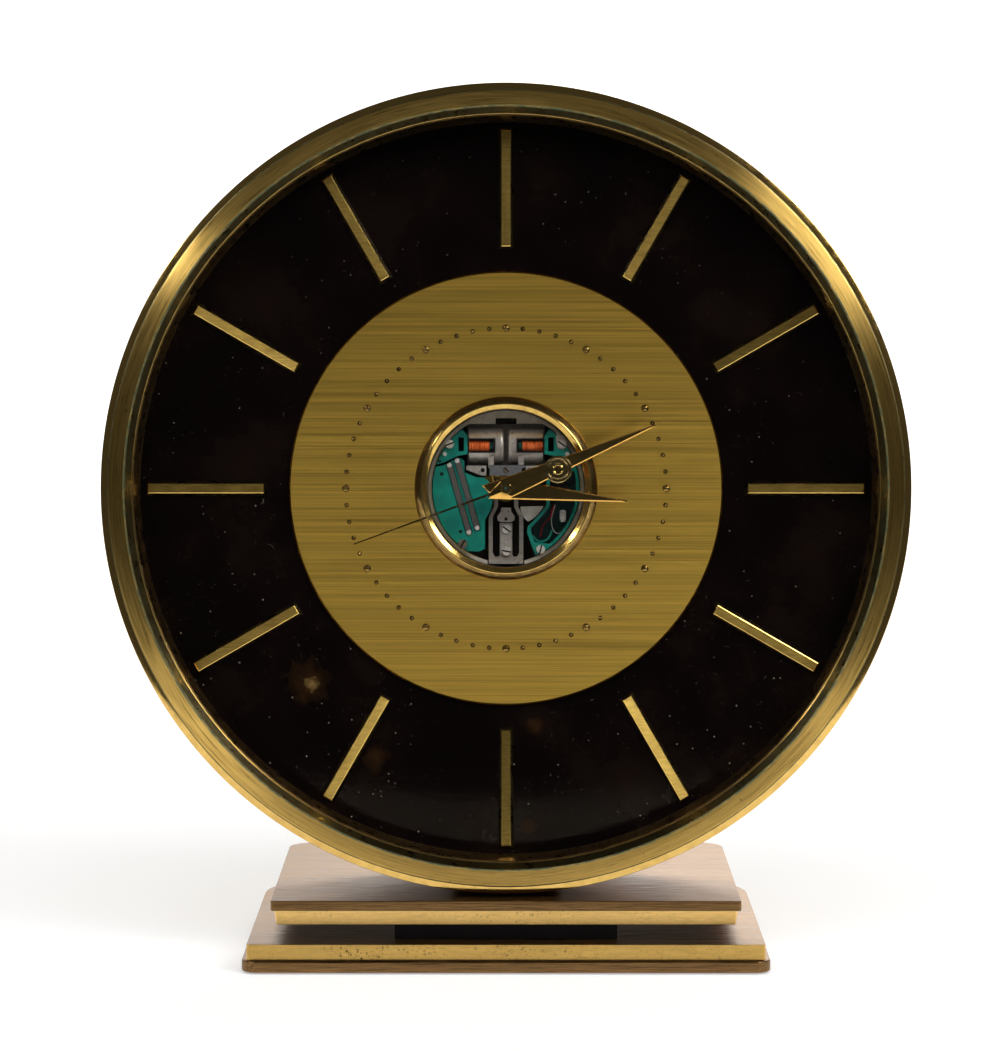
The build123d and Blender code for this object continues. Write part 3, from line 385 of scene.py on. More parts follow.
def clear_glass():
    """Crystal: thin clear glass that lets light through to the dial."""
    shade = Shade("crystal_glass", (0.98, 1.0, 0.99, 1.0), Transmission_Weight=1.0, IOR=1.1)
    smear = shade.noise(shade.add("TexCoord").outputs["Object"], 60.0, 4.0, 0.5)
    shade.set("Roughness", shade.range(smear, 0.5, 0.8, 0.0, 0.05))
    clear = shade.add("BsdfTransparent").outputs[0]
    path = shade.add("LightPath").outputs
    passed = shade.math("MAXIMUM", path["Is Shadow Ray"], path["Is Diffuse Ray"])
    mix = shade.add("MixShader", {0: passed, 1: shade.surface.outputs[0], 2: clear})
    shade.feed(shade.tree.nodes["Material Output"].inputs["Surface"], mix.outputs[0])
    return shade.material


def copper_wire():
    """Enamelled copper wire, brighter where the haze is thin."""
    shade = Shade("copper_wire", linear("#e8622a"), metallic=0.35, roughness=0.3)
    drift = shade.noise(shade.place((0.6, 0.6, 9.0)), detail=2.0)
    shade.set("Base Color", shade.mix(shade.range(drift, 0.4, 0.6), linear("#c44a18"), linear("#ff9450")))
    return shade.material


MATERIALS = {
    "bezel": round_brushed("bezel_brass", BRASS, DARK_BRASS, 0.31, BEZEL_FACE_INNER, 1.0),
    "bevel": polished("polished_bevel", (0.80, 0.52, 0.15, 1), DARK_BRASS, 0.1),
    "inner": polished("tarnished_bevel", (0.22, 0.17, 0.07, 1), (0.09, 0.09, 0.045, 1), 0.32, haze_mix=0.8),
    "drum": round_brushed("drum_brass", (0.72, 0.47, 0.14, 1), DARK_BRASS, 0.34),
    "disc": line_brushed(
        "disc_brass", (0.87, 0.54, 0.095, 1), (0.40, 0.24, 0.045, 1), 0.42, (0.016, 4.2, 4.2), 0.25, darkest=0.4
    ),
    # Pits and the disc's outer wall: the disc brass painted darker, as shade in the hollows.
    "pit": polished("shaded_pit_brass", (0.36, 0.22, 0.06, 1), (0.12, 0.07, 0.02, 1), 0.2),
    "plate": line_brushed(
        "satin_plate", (0.30, 0.17, 0.065, 1), (0.05, 0.025, 0.012, 1), 0.22, (0.11, 5.5, 5.5), 0.8, 0.6, 0.35,
        swing=0.26,
    ),
    "cover": round_brushed("cover_brass", (0.66, 0.44, 0.14, 1), DARK_BRASS, 0.32),
    "gold": polished("polished_gold", BRASS, DARK_BRASS, 0.1),
    "ring": polished("ring_gold", (0.78, 0.50, 0.14, 1), DARK_BRASS, 0.13, 0.6),
    "baton": line_brushed(
        "baton_gold", (0.62, 0.40, 0.10, 1), (0.34, 0.21, 0.045, 1), 0.34, (0.3, 3.0, 3.0), 0.3, 0.9, 0.2
    ),
    "rehaut": polished("sloping_gold", (0.24, 0.14, 0.05, 1), (0.11, 0.065, 0.027, 1), 0.3),
    # Baton sides: the baton gold painted nearly black, as shade.
    "shaded_baton_side": polished("shaded_baton_side", (0.10, 0.06, 0.02, 1), (0.05, 0.03, 0.012, 1), 0.3),
    # Lower and upper bands: a darker and a lighter, lit copy of one gold, as painted shade and painted light.
    "band": line_brushed(
        "band_gold", (0.72, 0.46, 0.13, 1), (0.44, 0.27, 0.07, 1), 0.36, (0.3, 2.6, 2.6), 0.3, 0.3, 0.3, 0.95, 0.4
    ),
    "top_band": line_brushed(
        "top_band_gold", (0.98, 0.64, 0.22, 1), (0.60, 0.39, 0.12, 1), 0.36, (0.3, 2.6, 2.6), 0.3, 0.3, 0.3, 0.9, 0.4
    ),
    # Hands: a darker gilt for the flats and a brighter copy for edges and facets, as painted shade and painted
    # highlight.
    "hand": polished("hand_gilt", (0.50, 0.33, 0.11, 1), (0.24, 0.15, 0.05, 1), 0.13, 0.8),
    "hand_edge": polished("hand_edge", (0.92, 0.50, 0.12, 1), (0.55, 0.29, 0.07, 1), 0.2),
    "hand_dark": polished("hand_dark", (0.20, 0.125, 0.045, 1), (0.10, 0.065, 0.028, 1), 0.22),
    "weight": polished("weight_gilt", (0.34, 0.24, 0.10, 1), (0.16, 0.11, 0.05, 1), 0.16),
    # The ring's outer flank: the ring gold painted darker, as shade.
    "flank": polished("shaded_flank_gold", (0.36, 0.22, 0.07, 1), (0.12, 0.07, 0.03, 1), 0.16, 0.6),
    "black_dial": black_lacquer(),
    # The depth heights paint shade into the deep parts of the plates.
    "nickel": metal_grain(
        "frosted_nickel", (0.54, 0.50, 0.44, 1), (0.20, 0.18, 0.15, 1), 0.42, 7.0, 1.0, 0.6, (-5.4, -4.6)
    ),
    "steel": metal_grain("satin_steel", (0.44, 0.39, 0.35, 1), (0.26, 0.22, 0.20, 1), 0.32, 1.5, 0.04, 0.65),
    "blued": metal_grain("blued_bar", (0.20, 0.20, 0.21, 1), (0.11, 0.11, 0.12, 1), 0.32, 2.0, 0.05, 0.7),
    "strap": metal_grain("strap_metal", (0.11, 0.10, 0.09, 1), (0.07, 0.06, 0.06, 1), 0.35, 2.0, 0.05, 0.6),
    "screw": metal_grain("screw_steel", (0.66, 0.62, 0.58, 1), (0.40, 0.37, 0.34, 1), 0.3, 3.0, 0.04, 0.6),
    "dark_screw": metal_grain("dark_screw", (0.20, 0.17, 0.14, 1), (0.10, 0.08, 0.07, 1), 0.3, 3.0, 0.05, 0.7),
    # The depth heights paint shade into the deep pocket of the circuit frame.
    "green": moulded("green_form", linear("#006a5a"), linear("#00524a"), 0.35, depth=(-5.0, -2.6)),
    "black": moulded("black_moulding", linear("#080604"), linear("#040302"), 0.6, coat=0.0),
    "spacer": moulded("spacer_black", linear("#060404"), linear("#030202"), 0.7, coat=0.0, specular=0.12),
    "dot": moulded("hub_dot", linear("#1f4236"), linear("#12261f"), 0.3),
    # Flat black for slot floors and hole mouths: painted shade.
    "hole": moulded("painted_hole_shade", linear("#050403"), linear("#020202"), 0.8, coat=0.0),
    "red": moulded("red_sleeve", linear("#a01424"), linear("#6a0c18"), 0.3),
    "copper": copper_wire(),
    "felt": felt("base_felt", linear("#1f4028"), linear("#10251a")),
    "glass": clear_glass(),
}


def finish_mesh(bm, name, material, body, nodes, matrix=CASE, sharp=35.0, edge=0.0, grain=None):
    """Turns a millimetre bmesh in its own frame into a piece that rides on a body.

    material is one name or a list of them, and grain gives the direction of the brushing at a face.
    """
    bmesh.ops.recalc_face_normals(bm, faces=bm.faces)
    flat = bm.loops.layers.uv.new("flat")
    for face in bm.faces:
        along = grain(face) if grain else Vector((1, 0))
        for loop in face.loops:
            x, y = loop.vert.co.x, loop.vert.co.y
            loop[flat].uv = ((x * along.x + y * along.y) * 0.01, (y * along.x - x * along.y) * 0.01)
    bmesh.ops.scale(bm, vec=(MM, MM, MM), verts=bm.verts)
    mesh = bpy.data.meshes.new(name)
    bm.to_mesh(mesh)
    bm.free()
    for polygon in mesh.polygons:
        polygon.use_smooth = True
    mesh.set_sharp_from_angle(angle=radians(sharp))
    for key in [material] if isinstance(material, str) else material:
        mesh.materials.append(MATERIALS[key])
    piece = bpy.data.objects.new(name, mesh)
    bpy.context.scene.collection.objects.link(piece)
    piece.matrix_world = matrix
    if edge:
        bevel = piece.modifiers.new("edge", "BEVEL")
        bevel.width = edge * MM
        bevel.segments = 2
        bevel.limit_method = "ANGLE"
        bevel.angle_limit = radians(sharp)
        bevel.harden_normals = True
    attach(piece, body)
    if nodes:
        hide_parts(*nodes)
    return piece


def rounded(points, radius):
    """Closed outline with every corner replaced by a small curve."""
    result = []
    steps = 3
    count = len(points)
    for index in range(count):
        before = Vector(points[index - 1])
        corner = Vector(points[index])
        after = Vector(points[(index + 1) % count])
        reach = min(radius, (before - corner).length * 0.45, (after - corner).length * 0.45)
        start = corner + (before - corner).normalized() * reach
        end = corner + (after - corner).normalized() * reach
        for step in range(steps + 1):
            t = step / steps
            result.append(start * (1 - t) ** 2 + corner * 2 * t * (1 - t) + end * t**2)
    return result


def lathe(name, profile, material, body, nodes, soft=0.15, steps=288, matrix=CASE, skins=None):
    """Solid of revolution about the local z axis from a closed (radius, height) profile.

    skins picks one of the materials for the side that starts at each point of the profile.
    """
    outline = rounded(profile, soft) if soft else [Vector(p) for p in profile]
    share = len(outline) // len(profile)
    bm = bmesh.new()
    rings = []
    for radius, height in outline:
        if radius < 1e-6:
            rings.append([bm.verts.new((0, 0, height))] * steps)
            continue
        ring = []
        for step in range(steps):
            angle = 2 * pi * step / steps
            ring.append(bm.verts.new((radius * cos(angle), radius * sin(angle), height)))
        rings.append(ring)
    for index, ring in enumerate(rings):
        following = rings[(index + 1) % len(rings)]
        for step in range(steps):
            after = (step + 1) % steps
            corners = []
            for vert in (ring[step], ring[after], following[after], following[step]):
                if vert not in corners:
                    corners.append(vert)
            if len(corners) > 2:
                face = bm.faces.new(corners)
                if skins:
                    face.material_index = skins[index // share]
    return finish_mesh(bm, name, material, body, nodes, matrix)


def skirt(bm, low, high, skin=0):
    """Side faces between two matching rings of points."""
    for index in range(len(low)):
        after = (index + 1) % len(low)
        bm.faces.new((low[index], low[after], high[after], high[index])).material_index = skin


def layered(name, layers, material, body, nodes, matrix=CASE, edge=0.0, sharp=35.0):
    """Solid through matching outlines, each given as (outline, height), bottom one first.

    Of two materials the second is for the top face.
    """
    bm = bmesh.new()
    rings = []
    for outline, height in layers:
        rings.append([bm.verts.new((x, y, height)) for x, y in outline])
    bm.faces.new(list(reversed(rings[0])))
    bm.faces.new(rings[-1]).material_index = 0 if isinstance(material, str) else 1
    for low, high in zip(rings, rings[1:]):
        skirt(bm, low, high)
    return finish_mesh(bm, name, material, body, nodes, matrix, sharp, edge)


def inset(points, distance):
    """Outline moved inwards by a distance, with mitred corners. The points run anticlockwise."""
    result = []
    count = len(points)
    for index in range(count):
        before, corner, after = (Vector(points[(index + k) % count]) for k in (-1, 0, 1))
        first = (corner - before).normalized()
        second = (after - corner).normalized()
        inward = Vector((-first.y, first.x)) + Vector((-second.y, second.x))
        reach = distance / max(0.2, inward.normalized().dot(Vector((-first.y, first.x))))
        result.append(corner + inward.normalized() * reach)
    return result


def refine(node, material, edge, narrow=1.0):
    """Dressed copy of a CAD node in the case frame: clean faces, soft edges, a detailed material.

    narrow scales it across.
    """
    source = frame["nodes"][node]
    bm = bmesh.new()
    bm.from_mesh(source.data)
    bm.transform(Matrix.Scale(1 / MM, 4) @ CASE.inverted() @ source.matrix_world)
    bmesh.ops.scale(bm, vec=(narrow, 1, 1), verts=bm.verts)
    bmesh.ops.remove_doubles(bm, verts=bm.verts, dist=0.0005)
    bmesh.ops.dissolve_limit(
        bm, angle_limit=radians(0.6), use_dissolve_boundaries=False, verts=bm.verts, edges=bm.edges
    )
    for layer in list(bm.loops.layers.uv):
        bm.loops.layers.uv.remove(layer)
    body = next(b for b, nodes in frame["record"]["behaviour"]["bodies"].items() if node in nodes)
    return finish_mesh(bm, node + "_piece", material, body, [node], edge=edge)


# Base: bevelled plates in the record's own frame
WORLD = Matrix.Identity(4)


def slab_outline(node, front_radius, back_radius):
    """Plan of a base plate, from the node's own box, with its four corner radii."""
    low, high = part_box(node)
    x0, y0, x1, y1 = low[0] / MM, low[1] / MM, high[0] / MM, high[1] / MM
    steps = 10
    points = []
    corners = (
        (x0, y0, 180, front_radius),
        (x1, y0, 270, front_radius),
        (x1, y1, 0, back_radius),
        (x0, y1, 90, back_radius),
    )
    for x, y, start, radius in corners:
        cx = x + radius * (1 if x == x0 else -1)
        cy = y + radius * (1 if y == y0 else -1)
        for step in range(steps + 1):
            angle = radians(start + 90 * step / steps)
            points.append((cx + radius * cos(angle), cy + radius * sin(angle)))
    return points


def slab(node, material, front_radius, back_radius, edge, foot=0.0):
    """A base plate with softened edges. foot draws the bottom outline in."""
    low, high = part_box(node)
    outline = slab_outline(node, front_radius, back_radius)
    bottom = inset(outline, foot) if foot else outline
    layers = [(bottom, low[2] / MM), (outline, high[2] / MM)]
    return layered(node + "_piece", layers, material, "clock", [node], WORLD, edge, 50.0)


slab("base_pad", "felt", 2.8, 12.0, 0.2)
slab("lower_plate", "plate", 2.8, 16.0, 0.35)
slab("lower_band", ["band", "plate"], 0.5, 15.0, 0.08)
slab("spacer_block", "spacer", 0.3, 0.3, 0.1)
# The upper band takes the lighter copy of the band gold: painted light.
slab("upper_band", "top_band", 0.6, 4.6, 0.08, foot=0.45)
slab("upper_plate", "plate", 0.5, 5.0, 0.12)
refine("case_saddle", "plate", 0.15, narrow=0.5)
refine("base_bolts", "screw", 0.1)
refine("saddle_nut", "steel", 0.1)

# Case
lathe(
    "drum_shell_piece",
    [(SHELL_RADIUS, SHELL_BACK), (SHELL_RADIUS, BEZEL_LIP), (SHELL_BORE, BEZEL_LIP), (SHELL_BORE, SHELL_BACK)],
    "drum",
    "clock",
    ["drum_shell"],
)
for turn in LUG_TURNS:
    lug = [(LUG_REACH + x * LUG_HALF, y * LUG_HALF) for x, y in ((-1, -1), (1, -1), (1, 1), (-1, 1))]
    spin = CASE @ Matrix.Rotation(radians(turn), 4, "Z")
    layers = [(lug, COVER_INSIDE), (lug, -DIAL_THICKNESS)]
    layered(f"drum_lug_{turn}", layers, "drum", "clock", [], spin, 0.2)
lathe(
    "bezel_ring_piece",
    [
        (BEZEL_RADIUS, BEZEL_BACK),
        (BEZEL_RADIUS, BEZEL_FACE - BEZEL_CHAMFER_DEPTH - BEZEL_FALL),
        (BEZEL_RADIUS - BEZEL_CHAMFER, BEZEL_FACE - BEZEL_FALL),
        (BEZEL_RADIUS - BEZEL_CHAMFER - BEZEL_LINE, BEZEL_FACE - BEZEL_FALL + BEZEL_LINE / 2),
        (BEZEL_FACE_INNER, BEZEL_FACE),
        (SIGHT_RADIUS + 0.16, BEZEL_LIP + 0.43),
        (SIGHT_RADIUS, BEZEL_LIP + 0.4),
        (SIGHT_RADIUS, BEZEL_LIP),
        (SHELL_RADIUS + 0.1, BEZEL_LIP),
        (SHELL_RADIUS + 0.1, BEZEL_BACK),
    ],
    ["bezel", "bevel", "inner"],
    "clock",
    ["bezel_ring"],
    soft=0.08,
    steps=360,
    skins=[0, 1, 2, 0, 2, 0, 2, 0, 0, 0],
)
lathe(
    "crystal_piece",
    [(0, CRYSTAL_BACK), (INSERT_RADIUS, CRYSTAL_BACK), (INSERT_RADIUS, BEZEL_LIP), (0, BEZEL_LIP)],
    "glass",
    "clock",
    ["crystal"],
    soft=0.0,
)
lathe(
    "rehaut_ring_piece",
    [(INSERT_RADIUS, 0), (INSERT_RADIUS, CRYSTAL_BACK), (SIGHT_RADIUS, CRYSTAL_BACK), (REHAUT_FOOT, 0)],
    "rehaut",
    "clock",
    ["rehaut_ring"],
    soft=0.08,
)
lathe(
    "dial_plate_piece",
    [(INSERT_RADIUS, -DIAL_THICKNESS), (INSERT_RADIUS, 0), (DIAL_BORE, 0), (DIAL_BORE, -DIAL_THICKNESS)],
    "black_dial",
    "clock",
    ["dial_plate"],
    soft=0.02,
)


def centre_disc():
    """Brushed disc with sixty minute pits, each a groove round a bead, every fifth one larger."""
    bm = bmesh.new()
    known = {}
    patch, spread, sides, rim = 1.2, 3.0, 16, 0.3

    def point(radius, degrees_round, height=DISC_HEIGHT):
        key = (round(radius, 4), round(degrees_round % 360, 4) % 360, height)
        if key not in known:
            angle = radians(degrees_round)
            known[key] = bm.verts.new((radius * cos(angle), radius * sin(angle), height))
        return known[key]

    for pit in range(60):
        middle = 6.0 * pit
        out = Vector((cos(radians(middle)), sin(radians(middle))))
        size = HOUR_PIT_RADIUS if pit % 5 == 0 else PIT_RADIUS
        border, rings = [], [[] for _ in range(3)]
        for side in range(sides):
            angle = 2 * pi * side / sides
            c, t = cos(angle), sin(angle)
            largest = max(abs(c), abs(t))
            border.append(point(PIT_REACH + patch * c / largest, middle + spread * t / largest))
            for ring, (reach, drop) in zip(rings, ((1.0, 0.0), (0.78, 0.2), (0.5, 0.14))):
                spot = out * (PIT_REACH + size * reach * c) + Vector((-out.y, out.x)) * size * reach * t
                ring.append(bm.verts.new((spot.x, spot.y, DISC_HEIGHT - drop)))
        bead = bm.verts.new((out.x * PIT_REACH, out.y * PIT_REACH, DISC_HEIGHT + 0.03))
        for side in range(sides):
            after = (side + 1) % sides
            bm.faces.new((border[side], border[after], rings[0][after], rings[0][side]))
            # Material 1 on the pit walls and floor is the darker pit brass: painted shade.
            for high, low in ((rings[0], rings[1]), (rings[1], rings[2])):
                bm.faces.new((high[side], high[after], low[after], low[side])).material_index = 1
            bm.faces.new((rings[2][side], rings[2][after], bead)).material_index = 1
    part = spread * tan(pi / 8)
    turns = [6.0 * pit + step for pit in range(60) for step in (-spread, -part, 0, part)]
    # The disc's outer wall also takes the darker pit brass: painted shade.
    bands = (
        (PIT_REACH - patch, DISC_HEIGHT, DIAL_BORE, DISC_HEIGHT, 0),
        (DIAL_BORE, DISC_HEIGHT, DIAL_BORE, 0.0, 0),
        (DIAL_BORE, 0.0, DISC_RADIUS, 0.0, 0),
        (DISC_RADIUS, 0.0, DISC_RADIUS, DISC_HEIGHT - rim, 1),
        (DISC_RADIUS, DISC_HEIGHT - rim, DISC_RADIUS - rim, DISC_HEIGHT, 2),
        (DISC_RADIUS - rim, DISC_HEIGHT, PIT_REACH + patch, DISC_HEIGHT, 0),
    )
    for radius, height, next_radius, next_height, skin in bands:
        for index, turn in enumerate(turns):
            after = turns[(index + 1) % len(turns)]
            corners = (
                point(radius, turn, height),
                point(radius, after, height),
                point(next_radius, after, next_height),
                point(next_radius, turn, next_height),
            )
            bm.faces.new(corners).material_index = skin
    return finish_mesh(bm, "dial_disc_piece", ["disc", "pit", "gold"], "clock", ["dial_disc"], sharp=25.0)


centre_disc()
lathe(
    "aperture_ring_piece",
    [
        (RING_SIGHT, RING_BACK),
        (RING_BARREL, RING_BACK),
        (RING_BARREL, DISC_HEIGHT),
        (RING_FLANGE, DISC_HEIGHT),
        (RING_FLANGE - 0.1, DISC_HEIGHT + 0.22),
        (RING_CREST, RING_HEIGHT - 0.12),
        (RING_SIGHT, RING_HEIGHT - 0.65),
    ],
    # The flank takes the darker flank gold: painted shade.
    ["ring", "flank"],
    "clock",
    ["aperture_ring"],
    soft=0.18,
    steps=192,
    skins=[0, 0, 0, 1, 1, 0, 0],
)


def batons():
    """Twelve applied hour markers: brushed flat tops, each with its own slight lean, and polished sides painted nearly
    black as shade.
    """
    bm = bmesh.new()
    leans = (-2, 0, 3, 0, -5, -3, 2, 0, 3, 0, -4, 1)
    strokes = (0, 0, 0, 0, 14, -22, 0, -8, -14, 0, 14, 15)
    for hour in range(12):
        turn = Matrix.Rotation(radians(30 * hour), 4, "Z")
        half, top_half = BATON_WIDTH / 2, BATON_TOP / 2
        draw = half - top_half
        lean = tan(radians(leans[hour]))
        rings = []
        for shrink, height in ((0.0, 0.0), (0.0, 0.12), (draw - BATON_EDGE, DISC_HEIGHT - 0.05), (draw, DISC_HEIGHT)):
            corners = (
                (BATON_START + shrink, -half + shrink),
                (BATON_START + BATON_LENGTH - shrink, -half + shrink),
                (BATON_START + BATON_LENGTH - shrink, half - shrink),
                (BATON_START + shrink, half - shrink),
            )
            sway = lean if height > 0.5 else 0.0
            rings.append([bm.verts.new(turn @ Vector((x, y, height + y * sway))) for x, y in corners])
        # Material 2, on the sides and the foot, is the shaded side colour: painted shade.
        bm.faces.new(list(reversed(rings[0]))).material_index = 2
        bm.faces.new(rings[-1])
        for low, high, skin in zip(rings, rings[1:], (2, 2, 1)):
            skirt(bm, low, high, skin)

    def along(face):
        middle = face.calc_center_median()
        hour = round(atan2(middle.y, middle.x) / radians(30)) % 12
        angle = radians(30 * hour + strokes[hour])
        return Vector((cos(angle), sin(angle)))

    return finish_mesh(
        bm, "hour_batons_piece", ["baton", "gold", "shaded_baton_side"], "clock", ["hour_batons"], sharp=20.0, grain=along
    )


batons()
refine("movement_holder", "black", 0.1)
refine("back_cover", "cover", 0.15)

# Movement
for node, material, edge in (
    ("main_plate", "nickel", 0.06),
    ("tuning_fork", "steel", 0.08),
    ("coil_form_left", "green", 0.06),
    ("coil_form_right", "green", 0.06),
    ("circuit_plate", "green", 0.06),
    ("contact_straps", "strap", 0.06),
    ("circuit_frame", "green", 0.08),
    ("transistor", "black", 0.15),
    ("capacitor", "screw", 0.15),
    ("red_lead", "red", 0.0),
    ("centre_bar", "blued", 0.06),
    ("foot_plates", "steel", 0.05),
    ("fork_clamp", "steel", 0.06),
    ("wedge_plate", "steel", 0.06),
    ("quarter_plate", "nickel", 0.06),
    ("train_housing", "steel", 0.1),
    ("battery_cell", "screw", 0.2),
    ("battery_hatch", "steel", 0.1),
    ("seconds_arbor", "dark_screw", 0.0),
    ("cannon_pinion", "gold", 0.0),
    ("minute_wheel", "gold", 0.0),
    ("hour_wheel", "gold", 0.0),
    ("setting_shaft", "steel", 0.05),
    ("setting_handle", "steel", 0.1),
):
    refine(node, material, edge)


def on_side(side):
    """Frame of a piece whose axis runs left (-1) or right (1) from the middle of the fork."""
    plane = CASE @ Matrix.Translation(Vector((0, MAGNET_LEVEL, FORK_PLANE)) * MM)
    return plane @ Matrix.Rotation(radians(90 * side), 4, "Y")


def coil(side, node):
    """Winding with its turns of wire."""
    start, end, bore, radius, wire = 3.0, 6.8, 0.55, 0.96, 0.1
    turns = int((end - start) / wire)
    profile = [(bore, start), (radius, start)]
    for turn in range(turns):
        for step in range(1, 5):
            t = step / 4
            profile.append((radius - 0.04 + 0.04 * abs(sin(pi * t)), start + (turn + t) * wire))
    profile.append((bore, end))
    return lathe(node + "_piece", profile, "copper", "clock", [node], soft=0.0, steps=48, matrix=on_side(side))


coil(-1, "coil_left")
coil(1, "coil_right")


def cup(side, node):
    """Cup magnet: a rounded floor and an upper and a lower wall, with the coil between them."""
    wide, deep, gap, start, roll, floor, end = 3.2, 1.98, 1.32, 0.4, 0.75, 1.9, 6.7
    plane = on_side(side)

    def section(low, high, size=1.0, steps=40):
        angles = [low + (high - low) * step / steps for step in range(steps + 1)]
        return [(deep * size * cos(angle), wide * size * sin(angle)) for angle in angles]

    layers = []
    for step in range(7):
        angle = radians(15 * step)
        layers.append((section(0, 2 * pi * 39 / 40, 0.8 + 0.2 * sin(angle), 39), start + roll * (1 - cos(angle))))
    layers.append((layers[-1][0], floor))
    layered(node + "_piece", layers, "steel", "clock", [node], plane)
    rim = atan2(gap / wide, (1 - (gap / wide) ** 2) ** 0.5)
    for word, turn in (("upper", 0), ("lower", pi)):
        wall = section(rim + turn, pi - rim + turn)
        inner = [(x, y * 0.97) for x, y in wall]
        layers = [(wall, floor - 0.05), (wall, end - 0.15), (inner, end)]
        layered(f"{node}_{word}", layers, "steel", "clock", [], plane)


cup(-1, "cup_magnet_left")
cup(1, "cup_magnet_right")

BACK = CASE @ Matrix.Rotation(pi, 4, "Y")


def screw(name, place, height, radius, turn, material="screw", tall=0.4, matrix=CASE):
    """Slotted screw head: a low disc with a land on either side of the slot."""
    gap, floor = radius * 0.16, height + tall * 0.4
    moved = matrix @ Matrix.Translation(Vector((*place, 0)) * MM) @ Matrix.Rotation(radians(turn), 4, "Z")
    profile = [(0, height), (radius, height), (radius, floor), (0, floor)]
    # The slot floor is flat black: painted shade.
    lathe(name + "_head", profile, [material, "hole"], "clock", [], 0.03, 32, moved, [0, 0, 1, 1])
    reach = atan2(gap, (radius**2 - gap**2) ** 0.5)
    for side in (0, 1):
        outline = []
        for step in range(13):
            angle = pi * side + reach + (pi - 2 * reach) * step / 12
            outline.append((radius * cos(angle), radius * sin(angle)))
        bevel = radius * 0.12
        layers = [(outline, floor), (outline, height + tall - bevel), (inset(outline, bevel), height + tall)]
        layered(f"{name}_land_{side}", layers, material, "clock", [], moved, sharp=30.0)


def button(name, place, height, radius, material, tall):
    """Small round rivet end on a plate, or a thin black disc at a hole mouth as painted shade."""
    moved = CASE @ Matrix.Translation(Vector((*place, 0)) * MM)
    profile = [(0, height), (radius, height), (radius, height + tall), (0, height + tall)]
    lathe(name, profile, material, "clock", [], soft=0.02, steps=24, matrix=moved)


screw("form_screw_left", (-10.2, 8.0), GREEN_TOP, 0.8, 20)
screw("form_screw_right", (10.1, 8.0), GREEN_TOP, 0.8, -35)
screw("plate_screw", (-7.8, -10.0), GREEN_TOP, 0.85, 60, "dark_screw")
screw("frame_screw", (6.25, -11.0), GREEN_TOP, 0.8, 75)
screw("bar_screw", (0.0, 3.35), BAR_FRONT, 0.6, -40, "dark_screw", 0.25)
screw("clamp_screw_top", (0.1, -7.4), CLAMP_FRONT, 0.85, -35, "screw", 0.35)
screw("clamp_screw_foot", (0.1, -11.4), CLAMP_FRONT, 0.85, -10, "screw", 0.35)
for side in (-1, 1):
    word = "left" if side < 0 else "right"
    button("form_pin_" + word, (side * 11.05, 6.2), GREEN_TOP, 0.38, "screw", 0.3)
    # Thin black discs at hole mouths: painted shade.
    button("foot_hole_" + word, (side * 4.2, 3.3), -2.8, 0.4, "hole", 0.02)
    button("form_eye_" + word, (side * 12.0, 4.9), GREEN_TOP, 0.3, "hole", 0.02)
for index, place in enumerate(((-10.2, 4.2), (-8.8, 5.0), (-6.7, -7.9), (-5.2, -7.1))):
    button(f"strap_end_{index}", place, -1.95, 0.42, "screw", 0.12)
# Thin black discs at hole mouths: painted shade.
button("plate_eye_upper", (-11.6, 2.6), GREEN_TOP, 0.35, "hole", 0.02)
button("plate_eye_lower", (-8.2, -7.8), GREEN_TOP, 0.32, "hole", 0.02)
button("wedge_eye", (0.0, -5.55), CLAMP_FRONT, 0.3, "hole", 0.02)
button("clamp_dot", (0.0, -9.7), CLAMP_FRONT, 0.14, "screw", 0.04)
for turn in LUG_TURNS:
    place = (LUG_REACH * cos(radians(turn)), LUG_REACH * sin(radians(turn)))
    screw(f"cover_screw_{turn}", place, -SHELL_BACK, 2.0, turn + 20, "screw", 0.9, BACK)


def ribbon(name, route, low, high, thickness, material):
    """Thin upright wall along a route in the pocket of the circuit frame."""
    points = [Vector(p) for p in route]
    sides = ([], [])
    for index, here in enumerate(points):
        before, after = points[max(index - 1, 0)], points[min(index + 1, len(points) - 1)]
        across = Vector((-(after - before).y, (after - before).x)).normalized() * thickness / 2
        sides[0].append(here + across)
        sides[1].append(here - across)
    outline = sides[1] + sides[0][::-1]
    layered(name, [(outline, low), (outline, high)], material, "clock", [], edge=thickness / 5)


def curved(route):
    """Points along a smooth curve through a few places."""
    spots = [Vector(p) for p in (route[0], *route, route[-1])]
    steps = 8
    result = []
    for a, b, c, d in zip(spots, spots[1:], spots[2:], spots[3:]):
        for step in range(steps):
            t = step / steps
            result.append(
                0.5 * (2 * b + (c - a) * t + (2 * a - 5 * b + 4 * c - d) * t**2 + (3 * b - a - 3 * c + d) * t**3)
            )
    return result + [spots[-1]]


rib = curved([(4.9, -8.6), (5.6, -9.4), (6.6, -9.6), (7.7, -9.0), (8.3, -7.6)])
ribbon("pocket_rib", rib, POCKET_FLOOR, -2.3, 0.3, "green")
wire = curved([(8.9, -3.0), (8.5, -4.4), (8.2, -5.8), (8.5, -7.4), (9.2, -8.1), (9.9, -8.0)])
ribbon("pocket_wire", wire, -3.1, -2.9, 0.16, "steel")
terminal = [(9.0, 8.9), (9.3, 7.2), (10.4, 7.0), (11.2, 8.0), (10.3, 9.4), (9.3, 10.1)]
layers = [(terminal, GREEN_TOP), (terminal, GREEN_TOP + 0.12)]
layered("form_terminal", layers, "steel", "clock", [], edge=0.04)


# Hands
def hand_turn(angle):
    """Case frame turned clockwise from twelve o'clock."""
    return CASE @ Matrix.Rotation(-radians(angle), 4, "Z")


